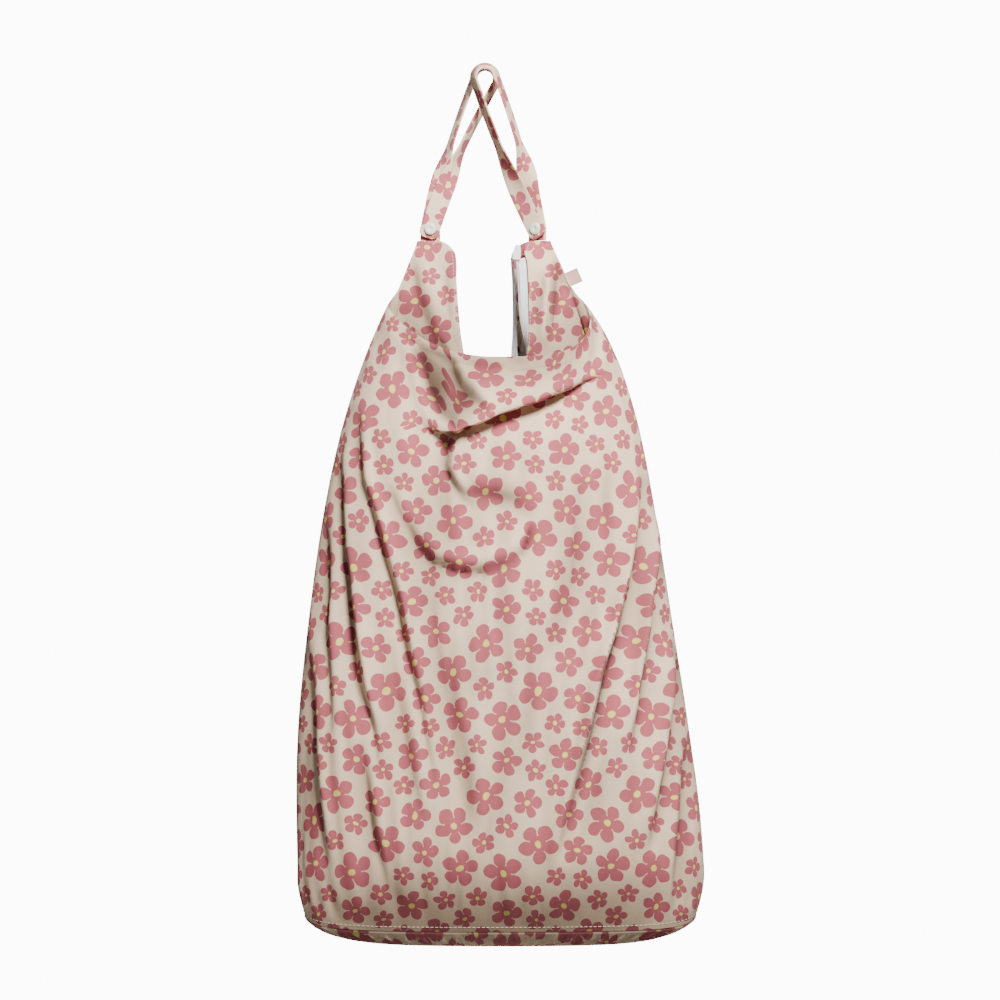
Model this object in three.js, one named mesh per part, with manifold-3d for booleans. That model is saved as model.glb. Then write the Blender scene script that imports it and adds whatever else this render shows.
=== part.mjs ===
// A large hanging wet bag for cloth diapers: a printed cloth shell with a boxed base, hung open from
// two straps that loop over a peg and snap back onto themselves.
// Millimetres, +Z up, front towards -Y. The origin is the centre of the peg that the straps hang on.
import * as THREE from 'three';
import { mergeVertices } from 'three/addons/utils/BufferGeometryUtils.js';
import Module from 'manifold-3d';

// Shell
const bagWidth = 406; // widest silhouette, near the base
const bagHeight = 702; // strap seam to the lowest point of the base
const bagDepth = 150; // reach of the front and back panels together at the fullest level
const neckWidth = 134; // across the two side seams where the straps are sewn on
const cloth = 1.6; // waterproof print cloth with its lining
const seamGap = 0.3; // parting between pieces that are sewn or snapped together

// Mouth and the neckline that rolls over in front of it
const mouthWidth = 59; // between the two shoulders
const mouthDepth = 36; // front rim to back rim at the middle
const mouthDrop = 140; // strap seam to the lowest point of the rim
const mouthSlant = 6; // the rim's lowest point lies this far right of its top
const mouthGape = 10; // the front rim's right side lies this far out, so that its tape shows
const necklineDrop = 120; // strap seam to the lowest point of the front neckline
const backFullDrop = 175; // strap seam to where the back panel has its full shape
const shoulderDrop = 65; // strap seam to where the neckline meets the side seams
const turnIn = 62; // cloth that hangs hidden behind the neckline
const layerGap = 8; // between the layers of the neckline's pleat
const rollRise = 5; // half thickness of the neckline's roll

// Swag of slack cloth under the front neckline
const swagBulge = 20; // forward of the panel
const swagOverhang = 7; // the swag's lip hangs this far over the cloth below it
const swagDrop = 187; // strap seam to the lip's low left end
const swagClimb = 62; // the lip's rise from its left end to the right side seam

// Base
const baseSag = 16; // the base panel hangs this far below its seam
const cornerLift = 13; // the base seam climbs this far at the side seams

// Straps, snaps and peg
const strapDrop = 164; // peg centre to strap seam
const strapWidth = 20;
const strapThickness = 2.4;
const twistStart = 0.22; // shares of a strand, from its snap up, between which it twists
const twistEnd = 0.58;
const strapInset = 3; // strap edge to the side seam
const pegRadius = 10; // the tapering peg, under the middle of a strap
const pegTaper = 18; // degrees
const strapSpacing = 3; // between the two straps on the peg
const snapHeight = 12; // snap centre above the strap seam
const strapTail = 9.5; // strap end beyond the snap centre
const snapDiameter = 12.4;
const capThickness = 1.8;
const postRadius = 2;
const socketRadius = 4;
const snapStack = 1.8; // between the two strap layers at the snap

// Zip
const tapeWidth = 7.5; // visible beyond the rim
const tapeThickness = 1;
const coilWidth = 2.2;
const coilThickness = 2;
const zipEnd = 0.74; // the tapes end at this share of the rim, up each shoulder
const tapeTurn = 78; // degrees that a tape is turned into the bag where it doesn't show
const sliderLength = 10;
const sliderWidth = 7;
const sliderPlate = 1.4; // thickness of the slider's front and back plates
const sliderCore = 2.4; // width of the wedge between them

// Side label
const labelWidth = 15; // along the seam
const labelReach = 11; // out of the seam
const labelThickness = 1.4;
const labelCurl = 2; // its free edge bends forward by this
const labelDrop = 40; // strap seam to the label's centre

// Side seams and fullness. level is a share of bagHeight below the strap seam, flare runs from the neck (0)
// to the widest part (1), lean is a share of bagWidth to the right, and the last three are shares of bagDepth.
const sections = [
  { level: 0.0, flare: 0.0, lean: -0.003, front: -0.07, back: 0.07, seam: 0.0 },
  { level: 0.04, flare: 0.084, lean: -0.001, front: -0.11, back: 0.1, seam: 0.0 },
  { level: 0.078, flare: 0.172, lean: 0.001, front: -0.19, back: 0.12, seam: -0.01 },
  { level: 0.088, flare: 0.228, lean: 0.004, front: -0.21, back: 0.125, seam: -0.015 },
  { level: 0.15, flare: 0.4, lean: 0.0135, front: -0.34, back: 0.15, seam: -0.04 },
  { level: 0.21, flare: 0.518, lean: 0.0145, front: -0.46, back: 0.17, seam: -0.06 },
  { level: 0.3, flare: 0.642, lean: 0.0125, front: -0.56, back: 0.19, seam: -0.1 },
  { level: 0.42, flare: 0.755, lean: 0.011, front: -0.62, back: 0.205, seam: -0.14 },
  { level: 0.55, flare: 0.85, lean: 0.0135, front: -0.67, back: 0.22, seam: -0.18 },
  { level: 0.7, flare: 0.945, lean: 0.021, front: -0.72, back: 0.23, seam: -0.215 },
  { level: 0.82, flare: 0.99, lean: 0.033, front: -0.745, back: 0.235, seam: -0.235 },
  { level: 0.91, flare: 1.0, lean: 0.039, front: -0.735, back: 0.23, seam: -0.24 },
  { level: 0.96, flare: 0.945, lean: 0.038, front: -0.69, back: 0.21, seam: -0.24 },
  { level: 1.0, flare: 0.87, lean: 0.038, front: -0.62, back: 0.17, seam: -0.24 },
];
const sectionPower = 2.35; // 2 is an ellipse, more is squarer

// Rim of the mouth from its lowest point (along 0) to a side seam (along 1). inner is a share of half the
// mouth's width, outer of the shoulder's, up of mouthDrop and open of half the mouth's depth.
const rim = [
  { along: 0.0, inner: 0.0, outer: 0.0, up: 0.0, open: 1.0 },
  { along: 0.1, inner: 0.47, outer: 0.0, up: 0.025, open: 1.0 },
  { along: 0.2, inner: 0.78, outer: 0.0, up: 0.1, open: 0.95 },
  { along: 0.3, inner: 0.88, outer: 0.0, up: 0.24, open: 0.9 },
  { along: 0.4, inner: 0.95, outer: 0.0, up: 0.4, open: 0.85 },
  { along: 0.62, inner: 1.0, outer: 0.0, up: 0.74, open: 0.72 },
  { along: 0.75, inner: 0.97, outer: 0.0, up: 0.91, open: 0.6 },
  { along: 0.8, inner: 1.0, outer: 0.12, up: 0.965, open: 0.4 },
  { along: 0.86, inner: 1.0, outer: 0.32, up: 1.0, open: 0.14 },
  { along: 1.0, inner: 1.0, outer: 1.0, up: 1.0, open: 0.0 },
];

// How the front neckline rises from its middle to the two side seams, as powers of the way across.
const necklineRise = { left: 1.9, right: 4.2 };

// The two straps: snapTurn in degrees about the strap, and each strand's sideways slack in shares of strapWidth.
const straps = [
  { name: 'left', side: -1, snapTurn: 0, outerBow: -0.22, innerBow: -0.25 },
  { name: 'right', side: 1, snapTurn: -28, outerBow: 0.22, innerBow: -0.15 },
];

// Main drape folds. x and level are the front view's shares of bagWidth and bagHeight at the two ends,
// height is along the cloth's normal in shares of bagDepth, width is the half width in shares of bagWidth.
const frontFolds = [
  { x0: -0.172, level0: 0.125, x1: -0.07, level1: 0.262, height: -0.1, width: 0.032 },
  { x0: -0.235, level0: 0.12, x1: -0.135, level1: 0.26, height: 0.045, width: 0.032 },
  { x0: -0.311, level0: 0.3, x1: -0.17, level1: 0.66, height: -0.06, width: 0.038 },
  { x0: -0.37, level0: 0.3, x1: -0.24, level1: 0.66, height: 0.045, width: 0.036 },
  { x0: -0.41, level0: 0.42, x1: -0.32, level1: 0.78, height: -0.04, width: 0.034 },
  { x0: -0.06, level0: 0.3, x1: -0.04, level1: 0.39, height: -0.04, width: 0.036 },
  { x0: -0.02, level0: 0.41, x1: 0.12, level1: 0.38, height: -0.04, width: 0.036 },
  { x0: 0.38, level0: 0.4, x1: 0.26, level1: 0.72, height: -0.055, width: 0.038 },
  { x0: 0.43, level0: 0.44, x1: 0.33, level1: 0.74, height: 0.04, width: 0.036 },
  { x0: 0.3, level0: 0.62, x1: 0.19, level1: 0.84, height: -0.045, width: 0.038 },
];
const backFolds = [
  { x0: -0.17, level0: 0.26, x1: -0.24, level1: 0.62, height: -0.035, width: 0.045 },
  { x0: 0.0, level0: 0.3, x1: 0.02, level1: 0.7, height: -0.03, width: 0.05 },
  { x0: 0.2, level0: 0.26, x1: 0.3, level1: 0.66, height: -0.035, width: 0.045 },
];

// Mesh density
const columns = 38;
const lowerRows = 18;
const baseRings = 4;
const spanSteps = 12;
const arcSteps = 12;
const lathePoints = 14;

const snapPitch = strapThickness + snapStack;
const neckHalf = neckWidth / 2;
const mouthHalf = mouthWidth / 2;
const topZ = -strapDrop;
const seamZ = topZ - bagHeight + baseSag;
const FRONT = -1;
const BACK = 1;

const clamp = (v, lo, hi) => Math.min(hi, Math.max(lo, v));
const mix = (a, b, t) => a + (b - a) * t;
const mixPoints = (a, b, t) => a.clone().lerp(b, t);
const smooth = (t) => {
  const c = clamp(t, 0, 1);
  return c * c * (3 - 2 * c);
};

// Reads a column of a table at a place between its rows, without overshoot.
function readTable(table, key, column, at) {
  const last = table.length - 1;
  const place = clamp(at, table[0][key], table[last][key]);
  let i = 0;
  while (i < last - 1 && place > table[i + 1][key]) i += 1;
  const slope = (k) => {
    if (k <= 0 || k >= last) return 0;
    const before = (table[k][column] - table[k - 1][column]) / (table[k][key] - table[k - 1][key]);
    const after = (table[k + 1][column] - table[k][column]) / (table[k + 1][key] - table[k][key]);
    return before * after <= 0 ? 0 : (2 * before * after) / (before + after);
  };
  const span = table[i + 1][key] - table[i][key];
  const t = (place - table[i][key]) / span;
  const secant = (table[i + 1][column] - table[i][column]) / span;
  const m0 = i === 0 ? 1.5 * secant - 0.5 * slope(1) : slope(i);
  const m1 = i + 1 === last ? 1.5 * secant - 0.5 * slope(last - 1) : slope(i + 1);
  const t2 = t * t;
  const t3 = t2 * t;
  return (
    (2 * t3 - 3 * t2 + 1) * table[i][column] +
    (t3 - 2 * t2 + t) * span * m0 +
    (3 * t2 - 2 * t3) * table[i + 1][column] +
    (t3 - t2) * span * m1
  );
}

const levelOf = (z) => (topZ - z) / bagHeight;
const section = (z, column) => readTable(sections, 'level', column, levelOf(z));

// A point of the plain shell: across runs from the left side seam (-1) to the right one (1).
function shellPoint(across, z, side) {
  const turn = Math.sin((across * Math.PI) / 2);
  const half = mix(neckHalf, bagWidth / 2, section(z, 'flare'));
  const fullness = (1 - Math.abs(turn) ** sectionPower) ** (1 / sectionPower);
  const seamY = section(z, 'seam') * bagDepth;
  const reachY = section(z, side === FRONT ? 'front' : 'back') * bagDepth;
  return new THREE.Vector3(
    section(z, 'lean') * bagWidth + half * turn,
    mix(seamY, reachY, fullness) + side * (cloth + seamGap / 2),
    z,
  );
}

function rimPoint(across, side) {
  const along = Math.abs(across);
  const read = (column) => readTable(rim, 'along', column, along);
  const out = mouthHalf * read('inner') + (neckHalf - mouthHalf) * read('outer');
  const up = read('up');
  const gape = side === FRONT && across > 0 ? mouthGape * smooth(along / 0.3) * smooth((0.9 - along) / 0.2) : 0;
  const slant = mouthSlant * (1 - up) + gape;
  const middleY = side === FRONT ? -0.55 * layerGap * (1 - along) : 0;
  return new THREE.Vector3(
    Math.sign(across) * out + section(topZ, 'lean') * bagWidth + slant,
    side * ((mouthDepth / 2) * read('open') + cloth + seamGap / 2) + middleY,
    topZ - mouthDrop * (1 - up),
  );
}

// Where a column of a panel passes from the loose cloth round the mouth to the full shell.
function necklineZ(across, side) {
  const drop = side === FRONT ? necklineDrop : backFullDrop;
  const rise = across < 0 ? necklineRise.left : necklineRise.right;
  const out = Math.sin((Math.abs(across) * Math.PI) / 2);
  return topZ - drop + (drop - shoulderDrop) * out ** rise;
}

const hemZ = (across) => seamZ + cornerLift * Math.abs(across) ** 5;

// The swag's lip: its height across the panel and how strongly it shows there.
const lipZ = (across) => topZ - swagDrop + swagClimb * smooth((across + 0.16) / 1.16) ** 0.8;
const lipShow = (across) => smooth((across + 0.3) / 0.16) * smooth((0.78 - across) / 0.5);

// Key points down one column of a panel, from the rim, round the hidden pleat and the neckline, to the hem.
function columnKeys(across, side) {
  const neckline = shellPoint(across, necklineZ(across, side), side);
  const edge = rimPoint(across, side);
  const pleat = side === FRONT ? smooth((1 - Math.abs(across)) / 0.3) : 0;
  const depth = turnIn * (1 - across * across);
  const inward = -side * layerGap;
  const offset = (dy, dz) => neckline.clone().add(new THREE.Vector3(0, dy, dz));
  const folded = [
    { point: offset(inward * 0.5, -rollRise), share: 0.08 },
    { point: offset(inward * 0.6, -depth * 0.6), share: 0.22 },
    { point: offset(inward * 0.9, -depth), share: 0.36 },
    { point: offset(inward * 1.5, -depth), share: 0.5 },
  ];
  const plain = (share) => {
    const point = neckline.clone().lerp(edge, share);
    return point.lerp(shellPoint(across, point.z, side), Math.abs(across) ** 12);
  };
  const upper = folded.map(({ point, share }) => plain(share).lerp(point, pleat));
  const between = plain(0.75).lerp(mixPoints(upper[3], edge, 0.5), pleat);
  const keys = [edge, between, upper[3], upper[2], upper[1], upper[0]];
  keys.push(neckline.clone().add(new THREE.Vector3(0, 0, rollRise * 0.4 * pleat)));

  const top = neckline.z;
  const lip = side === FRONT ? lipZ(across) : mix(top, seamZ, 0.15);
  const show = side === FRONT ? lipShow(across) : 0;
  const place = (z, forward = 0, drop = 0) => {
    const point = shellPoint(across, z, side);
    point.y += side * forward * show;
    point.z -= drop * show;
    return point;
  };
  keys.push(place(mix(top, lip, 0.16), swagBulge * 0.1));
  keys.push(place(mix(top, lip, 0.45), swagBulge * 0.4));
  keys.push(place(mix(top, lip, 0.78), swagBulge * 0.85));
  keys.push(place(lip, swagBulge, swagOverhang));
  keys.push(place(lip - swagOverhang * 0.4, swagBulge * 0.45, swagOverhang));
  keys.push(place(lip - swagOverhang, -swagBulge * 0.1, -swagOverhang * 0.2));
  for (let i = 1; i <= lowerRows; i += 1) {
    const share = Math.sin(((i / lowerRows) * Math.PI) / 2) ** 0.9;
    keys.push(place(mix(lip - swagOverhang, hemZ(across), mix(i / lowerRows, share, 0.45))));
  }
  return keys;
}

// Points along a smooth curve through keys, at fractional key numbers.
function throughKeys(keys, places) {
  const knots = [0];
  for (let i = 1; i < keys.length; i += 1) {
    knots.push(knots[i - 1] + Math.max(Math.sqrt(keys[i].distanceTo(keys[i - 1])), 1e-3));
  }
  const tangent = (i) => {
    const a = Math.max(i - 1, 0);
    const b = Math.min(i + 1, keys.length - 1);
    return keys[b].clone().sub(keys[a]).divideScalar(knots[b] - knots[a]);
  };
  return places.map((place) => {
    const i = Math.min(Math.floor(place), keys.length - 2);
    const t = place - i;
    const span = knots[i + 1] - knots[i];
    const t2 = t * t;
    const t3 = t2 * t;
    return new THREE.Vector3()
      .addScaledVector(keys[i], 2 * t3 - 3 * t2 + 1)
      .addScaledVector(tangent(i), (t3 - 2 * t2 + t) * span)
      .addScaledVector(keys[i + 1], 3 * t2 - 2 * t3)
      .addScaledVector(tangent(i + 1), (t3 - t2) * span);
  });
}

// How far the folds lift the cloth at a point of the front view.
function foldHeight(folds, point) {
  const x = point.x / bagWidth;
  const y = -levelOf(point.z) * (bagHeight / bagWidth);
  let total = 0;
  for (const fold of folds) {
    const y0 = -fold.level0 * (bagHeight / bagWidth);
    const dx = fold.x1 - fold.x0;
    const dy = -fold.level1 * (bagHeight / bagWidth) - y0;
    const length = dx * dx + dy * dy;
    const along = ((x - fold.x0) * dx + (y - y0) * dy) / length;
    const off = Math.abs((x - fold.x0) * dy - (y - y0) * dx) / Math.sqrt(length);
    const ends = smooth((along + 0.12) / 0.3) * smooth((1.12 - along) / 0.3);
    total += fold.height * bagDepth * ends * Math.exp(-((off / fold.width) ** 2));
  }
  return total;
}

// Outward normals of a grid of points, for a panel whose outside faces side.
function gridNormals(grid, side) {
  const rows = grid.length;
  const across = grid[0].length;
  return grid.map((row, r) =>
    row.map((_, c) => {
      const alongRow = grid[r][Math.min(c + 1, across - 1)].clone().sub(grid[r][Math.max(c - 1, 0)]);
      const downColumn = grid[Math.min(r + 1, rows - 1)][c].clone().sub(grid[Math.max(r - 1, 0)][c]);
      const isSeam = c === 0 || c === across - 1;
      return isSeam ? new THREE.Vector3(0, side, 0) : alongRow.cross(downColumn).normalize().multiplyScalar(side);
    }),
  );
}

// A closed solid between two grids of points with the same number of rows and columns.
function slabGeometry(outer, inner, side) {
  const rows = outer.length;
  const across = outer[0].length;
  const at = (r, c) => r * across + c;
  const inside = rows * across;
  const positions = [...outer.flat(), ...inner.flat()].flatMap((p) => [p.x, p.y, p.z]);
  const faces = [];
  const quad = (a, b, c, d) => {
    if (side === FRONT) faces.push(a, b, c, a, c, d);
    else faces.push(a, c, b, a, d, c);
  };
  for (let r = 0; r < rows - 1; r += 1) {
    for (let c = 0; c < across - 1; c += 1) {
      quad(at(r, c), at(r + 1, c), at(r + 1, c + 1), at(r, c + 1));
      const [a, b] = [inside + at(r, c), inside + at(r, c + 1)];
      quad(a, b, inside + at(r + 1, c + 1), inside + at(r + 1, c));
    }
  }
  const rim = [];
  for (let c = 0; c < across - 1; c += 1) rim.push(at(0, c));
  for (let r = 0; r < rows - 1; r += 1) rim.push(at(r, across - 1));
  for (let c = across - 1; c > 0; c -= 1) rim.push(at(rows - 1, c));
  for (let r = rows - 1; r > 0; r -= 1) rim.push(at(r, 0));
  rim.forEach((a, i) => {
    const b = rim[(i + 1) % rim.length];
    quad(a, b, inside + b, inside + a);
  });
  const geometry = new THREE.BufferGeometry();
  geometry.setAttribute('position', new THREE.Float32BufferAttribute(positions, 3));
  geometry.setIndex(faces);
  return geometry;
}

const offsetGrid = (grid, normals, distance) =>
  grid.map((row, r) => row.map((p, c) => p.clone().addScaledVector(normals[r][c], distance)));

const acrossValues = Array.from({ length: columns + 1 }, (_, i) => -1 + (2 * i) / columns);
const keyCount = columnKeys(0, FRONT).length;
const placesOf = { [FRONT]: [], [BACK]: [] };
for (let i = 0; i <= keyCount - 1; i += 1) {
  placesOf[FRONT].push(i);
  placesOf[BACK].push(i);
  if (i < 12 && i !== 1 && i !== 5) placesOf[FRONT].push(i + 0.5);
}
placesOf[BACK] = placesOf[BACK].filter((i) => i < 7 || i % 2 === 0);

// One draped panel as a grid of outer points with its normals.
function panelGrid(side) {
  const folds = side === FRONT ? frontFolds : backFolds;
  const byColumn = acrossValues.map((across) => throughKeys(columnKeys(across, side), placesOf[side]));
  const grid = placesOf[side].map((_, r) => byColumn.map((column) => column[r]));
  const firstOutside = placesOf[side].findIndex((place) => place >= 7);
  const normals = gridNormals(grid, side);
  grid.forEach((row, r) => {
    if (r < firstOutside) return;
    row.forEach((point, c) => {
      const seamFade = smooth((1 - Math.abs(acrossValues[c])) / 0.2);
      const hemFade = smooth((placesOf[side][grid.length - 1] - placesOf[side][r]) / 2);
      point.addScaledVector(normals[r][c], foldHeight(folds, point) * seamFade * hemFade);
    });
  });
  return { grid, normals: gridNormals(grid, side) };
}

const panels = { [FRONT]: panelGrid(FRONT), [BACK]: panelGrid(BACK) };

function panelGeometry(side) {
  const { grid, normals } = panels[side];
  return slabGeometry(grid, offsetGrid(grid, normals, -cloth), side);
}

// The base: rings from the seam with both panels down to the middle, closed by one point.
function baseGeometry() {
  const edge = (side) => {
    const { grid } = panels[side];
    return grid[grid.length - 1].map((p) => p.clone());
  };
  const front = edge(FRONT);
  const back = edge(BACK).reverse();
  const ring = [...front.slice(0, -1), ...back.slice(0, -1)];
  ring.forEach((p) => {
    p.z -= 1.5 * seamGap;
  });
  const middle = ring.reduce((sum, p) => sum.add(p), new THREE.Vector3()).divideScalar(ring.length);
  const count = ring.length;
  const sagAt = (share) => baseSag * (1 - share ** 6);
  const surface = (drop) => {
    const points = [];
    for (let i = 0; i < baseRings; i += 1) {
      const share = 1 - (i / baseRings) ** 2.5;
      for (const p of ring) {
        const point = middle.clone().lerp(p, share);
        point.z = mix(seamZ, p.z, share ** 3) - sagAt(share) - drop;
        points.push(point);
      }
    }
    points.push(new THREE.Vector3(middle.x, middle.y, seamZ - baseSag - drop));
    return points;
  };
  const inner = surface(0);
  const outer = surface(cloth);
  const positions = [...outer, ...inner].flatMap((p) => [p.x, p.y, p.z]);
  const inside = outer.length;
  const faces = [];
  const next = (k) => (k + 1) % count;
  for (let i = 0; i < baseRings - 1; i += 1) {
    for (let k = 0; k < count; k += 1) {
      const [a, b, c, d] = [i * count + k, i * count + next(k), (i + 1) * count + next(k), (i + 1) * count + k];
      faces.push(a, c, b, a, d, c);
      faces.push(inside + a, inside + b, inside + c, inside + a, inside + c, inside + d);
    }
  }
  const lastRing = (baseRings - 1) * count;
  for (let k = 0; k < count; k += 1) {
    faces.push(lastRing + k, inside - 1, lastRing + next(k));
    faces.push(inside + lastRing + k, inside + lastRing + next(k), 2 * inside - 1);
    faces.push(k, next(k), inside + next(k), k, inside + next(k), inside + k);
  }
  const geometry = new THREE.BufferGeometry();
  geometry.setAttribute('position', new THREE.Float32BufferAttribute(positions, 3));
  geometry.setIndex(faces);
  return geometry;
}

// A strip that carries on from the rim of a panel. Each station is the rim point with the way beyond the
// rim, which turns into the bag where the tape doesn't show, and the strip's normal.
function rimStations(side) {
  const { grid, normals } = panels[side];
  const stations = [];
  acrossValues.forEach((across, c) => {
    if (Math.abs(across) > zipEnd) return;
    const alongRim = grid[0][c + 1].clone().sub(grid[0][c - 1]).normalize();
    const normal = normals[0][c].clone().projectOnPlane(alongRim).normalize();
    const beyond = normal.clone().cross(alongRim).multiplyScalar(-side);
    const shows = side === FRONT ? smooth((across + 0.1) / 0.4) : 0;
    const turn = side * (1 - shows) * THREE.MathUtils.degToRad(tapeTurn);
    beyond.applyAxisAngle(alongRim, turn);
    normal.applyAxisAngle(alongRim, turn);
    const root = grid[0][c].clone().addScaledVector(normals[0][c], -cloth / 2);
    stations.push({ root, beyond, normal, alongRim });
  });
  return stations;
}

// The strip between two reaches beyond the rim, laid on the middle of the panel's cloth.
function stripGeometry(side, stations, near, far, thickness) {
  const rowAt = (reach, lift) =>
    stations.map(({ root, beyond, normal }) =>
      root.clone().addScaledVector(beyond, reach).addScaledVector(normal, lift),
    );
  const reaches = [far, near];
  const outer = reaches.map((reach) => rowAt(reach, thickness / 2));
  const inner = reaches.map((reach) => rowAt(reach, -thickness / 2));
  return slabGeometry(outer, inner, side);
}

// A strap's centre line: up from its seam, over the peg and down to its snap. twist runs from 0, where the
// strap lies square to its snap, to 1, where it lies flat on the peg.
function strapStations({ side: sign, snapTurn, outerBow, innerBow }) {
  const onPeg = pegRadius + seamGap + strapThickness / 2;
  const pegY = (-sign * (strapWidth + strapSpacing)) / 2;
  const seamX = section(topZ, 'lean') * bagWidth + sign * (neckHalf - strapInset - strapWidth / 2);
  const seam = new THREE.Vector3(seamX, 0, topZ + seamGap);
  const turned = THREE.MathUtils.degToRad(snapTurn);
  const axis = new THREE.Vector3(sign * Math.sin(turned), -Math.cos(turned), 0);
  const snapBase = new THREE.Vector3(seamX, 0, topZ + snapHeight);
  const snapFront = snapBase.clone().addScaledVector(axis, snapPitch);
  const pegPoint = (angle) => new THREE.Vector3(Math.cos(angle) * onPeg, pegY, Math.sin(angle) * onPeg);

  // Where a straight strand from a point touches the peg, on its own side of it or on the far side.
  const touchAngle = (from, ownSide) => {
    const opening = Math.acos(onPeg / Math.hypot(from.x, from.z));
    return Math.atan2(from.z, from.x) + (ownSide ? sign : -sign) * opening;
  };
  const startAngle = touchAngle(snapBase, true);
  let endAngle = touchAngle(snapFront, false);
  while (sign * (endAngle - startAngle) < 0) endAngle += sign * 2 * Math.PI;

  const stations = [];
  const add = (point, twist) => stations.push({ point, twist });
  const strandPoint = (snap, touch, share, bow) => {
    const point = mixPoints(snap, touch, share);
    point.x += bow * strapWidth * Math.sin(Math.PI * share);
    const squareY = snap.y - (axis.x / axis.y) * (point.x - snap.x);
    point.y = mix(squareY, touch.y, smooth(share / twistEnd));
    return point;
  };
  const twistAt = (share) => smooth((share - twistStart) / (twistEnd - twistStart));
  const start = pegPoint(startAngle);
  const end = pegPoint(endAngle);
  add(seam, 0);
  add(mixPoints(seam, snapBase, 0.5), 0);
  for (let i = 0; i < spanSteps; i += 1) {
    const share = i / spanSteps;
    add(strandPoint(snapBase, start, share, outerBow), twistAt(share));
  }
  for (let i = 0; i <= arcSteps; i += 1) {
    add(pegPoint(mix(startAngle, endAngle, i / arcSteps)), 1);
  }
  for (let i = spanSteps - 1; i >= 0; i -= 1) {
    const share = i / spanSteps;
    add(strandPoint(snapFront, end, share, innerBow), twistAt(share));
  }
  const last = stations[stations.length - 1].point;
  const onward = last.clone().sub(stations[stations.length - 2].point).normalize();
  onward.addScaledVector(axis, -onward.dot(axis)).normalize();
  add(last.clone().addScaledVector(onward, strapTail * 0.6), 0);
  add(last.clone().addScaledVector(onward, strapTail), 0);

  stations.forEach((station, i) => {
    const ahead = stations[Math.min(i + 1, stations.length - 1)].point;
    const behind = stations[Math.max(i - 1, 0)].point;
    const along = ahead.clone().sub(behind).normalize();
    const square = axis.clone().cross(along).normalize();
    const onEdge = new THREE.Vector3(0, -sign, 0).projectOnPlane(along).normalize();
    const angle = Math.atan2(square.clone().cross(onEdge).dot(along), square.dot(onEdge));
    const taper = Math.sign(angle) * THREE.MathUtils.degToRad(pegTaper);
    station.across = square.applyAxisAngle(along, (angle - taper) * station.twist);
    station.normal = along.clone().cross(station.across).normalize();
  });
  return { stations, snapBase, snapFront, axis };
}

// A band of rectangular section through a strap's stations. Its tail end is narrower, as a rounded corner.
function bandGeometry(stations, width, thickness) {
  const positions = [];
  const last = stations.length - 1;
  stations.forEach(({ point, across, normal }, i) => {
    const half = (width / 2) * (i === last ? 0.72 : 1);
    for (const [a, n] of [[-1, -1], [1, -1], [1, 1], [-1, 1]]) {
      const corner = point.clone().addScaledVector(across, a * half);
      corner.addScaledVector(normal, (n * thickness) / 2);
      positions.push(corner.x, corner.y, corner.z);
    }
  });
  const faces = [];
  for (let i = 0; i < last; i += 1) {
    for (let k = 0; k < 4; k += 1) {
      const [a, b] = [4 * i + k, 4 * i + ((k + 1) % 4)];
      faces.push(a, b, b + 4, a, b + 4, a + 4);
    }
  }
  faces.push(0, 2, 1, 0, 3, 2);
  const end = 4 * last;
  faces.push(end, end + 1, end + 2, end, end + 2, end + 3);
  const geometry = new THREE.BufferGeometry();
  geometry.setAttribute('position', new THREE.Float32BufferAttribute(positions, 3));
  geometry.setIndex(faces);
  return geometry;
}

// A snap: two domed caps on a post, with the socket between the two layers of the strap. It is turned
// about Y, from the middle of the inner layer at 0.
function snapGeometry() {
  const face = strapThickness / 2 + seamGap;
  const capRadius = snapDiameter / 2;
  const cap = [
    { radius: 0, height: 1 },
    { radius: 0.7, height: 0.88 },
    { radius: 1, height: 0.35 },
    { radius: 1, height: 0 },
  ];
  const inner = cap.map(({ radius, height }) => [radius * capRadius, -face - height * capThickness]);
  const outer = cap.map(({ radius, height }) => [radius * capRadius, snapPitch + face + height * capThickness]);
  const post = [
    [postRadius, -face],
    [postRadius, face],
    [socketRadius, face],
    [socketRadius, snapPitch - face],
    [postRadius, snapPitch - face],
    [postRadius, snapPitch + face],
  ];
  const profile = [...inner, ...post, ...outer.reverse()];
  return new THREE.LatheGeometry(profile.map(([r, h]) => new THREE.Vector2(r, h)), lathePoints);
}

const wasm = await Module();
wasm.setup();

function toSolid(geometry) {
  const bare = geometry.index ? geometry.toNonIndexed() : geometry.clone();
  bare.deleteAttribute('normal');
  bare.deleteAttribute('uv');
  const merged = mergeVertices(bare, 1e-3);
  return new wasm.Manifold(
    new wasm.Mesh({
      numProp: 3,
      vertProperties: new Float32Array(merged.attributes.position.array),
      triVerts: new Uint32Array(merged.index.array),
    }),
  );
}

function toGeometry(solid) {
  const mesh = solid.getMesh();
  const geometry = new THREE.BufferGeometry();
  geometry.setAttribute('position', new THREE.Float32BufferAttribute(mesh.vertProperties, 3));
  geometry.setIndex(new THREE.Uint32BufferAttribute(mesh.triVerts, 1));
  return geometry;
}

const BAG = new THREE.Group();

const materials = {
  print: new THREE.MeshStandardMaterial({ color: 0xe6d3c3, roughness: 0.78, metalness: 0 }),
  zip: new THREE.MeshStandardMaterial({ color: 0xe4e2e6, roughness: 0.6, metalness: 0 }),
  snap: new THREE.MeshStandardMaterial({ color: 0xe2e4d4, roughness: 0.35, metalness: 0 }),
  label: new THREE.MeshStandardMaterial({ color: 0xdfb4a6, roughness: 0.7, metalness: 0 }),
};

function addMesh(name, geometry, material) {
  const mesh = new THREE.Mesh(geometry, material);
  mesh.name = name;
  BAG.add(mesh);
  return mesh;
}

addMesh('front_panel', panelGeometry(FRONT), materials.print);
addMesh('back_panel', panelGeometry(BACK), materials.print);
addMesh('base_panel', baseGeometry(), materials.print);

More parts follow.
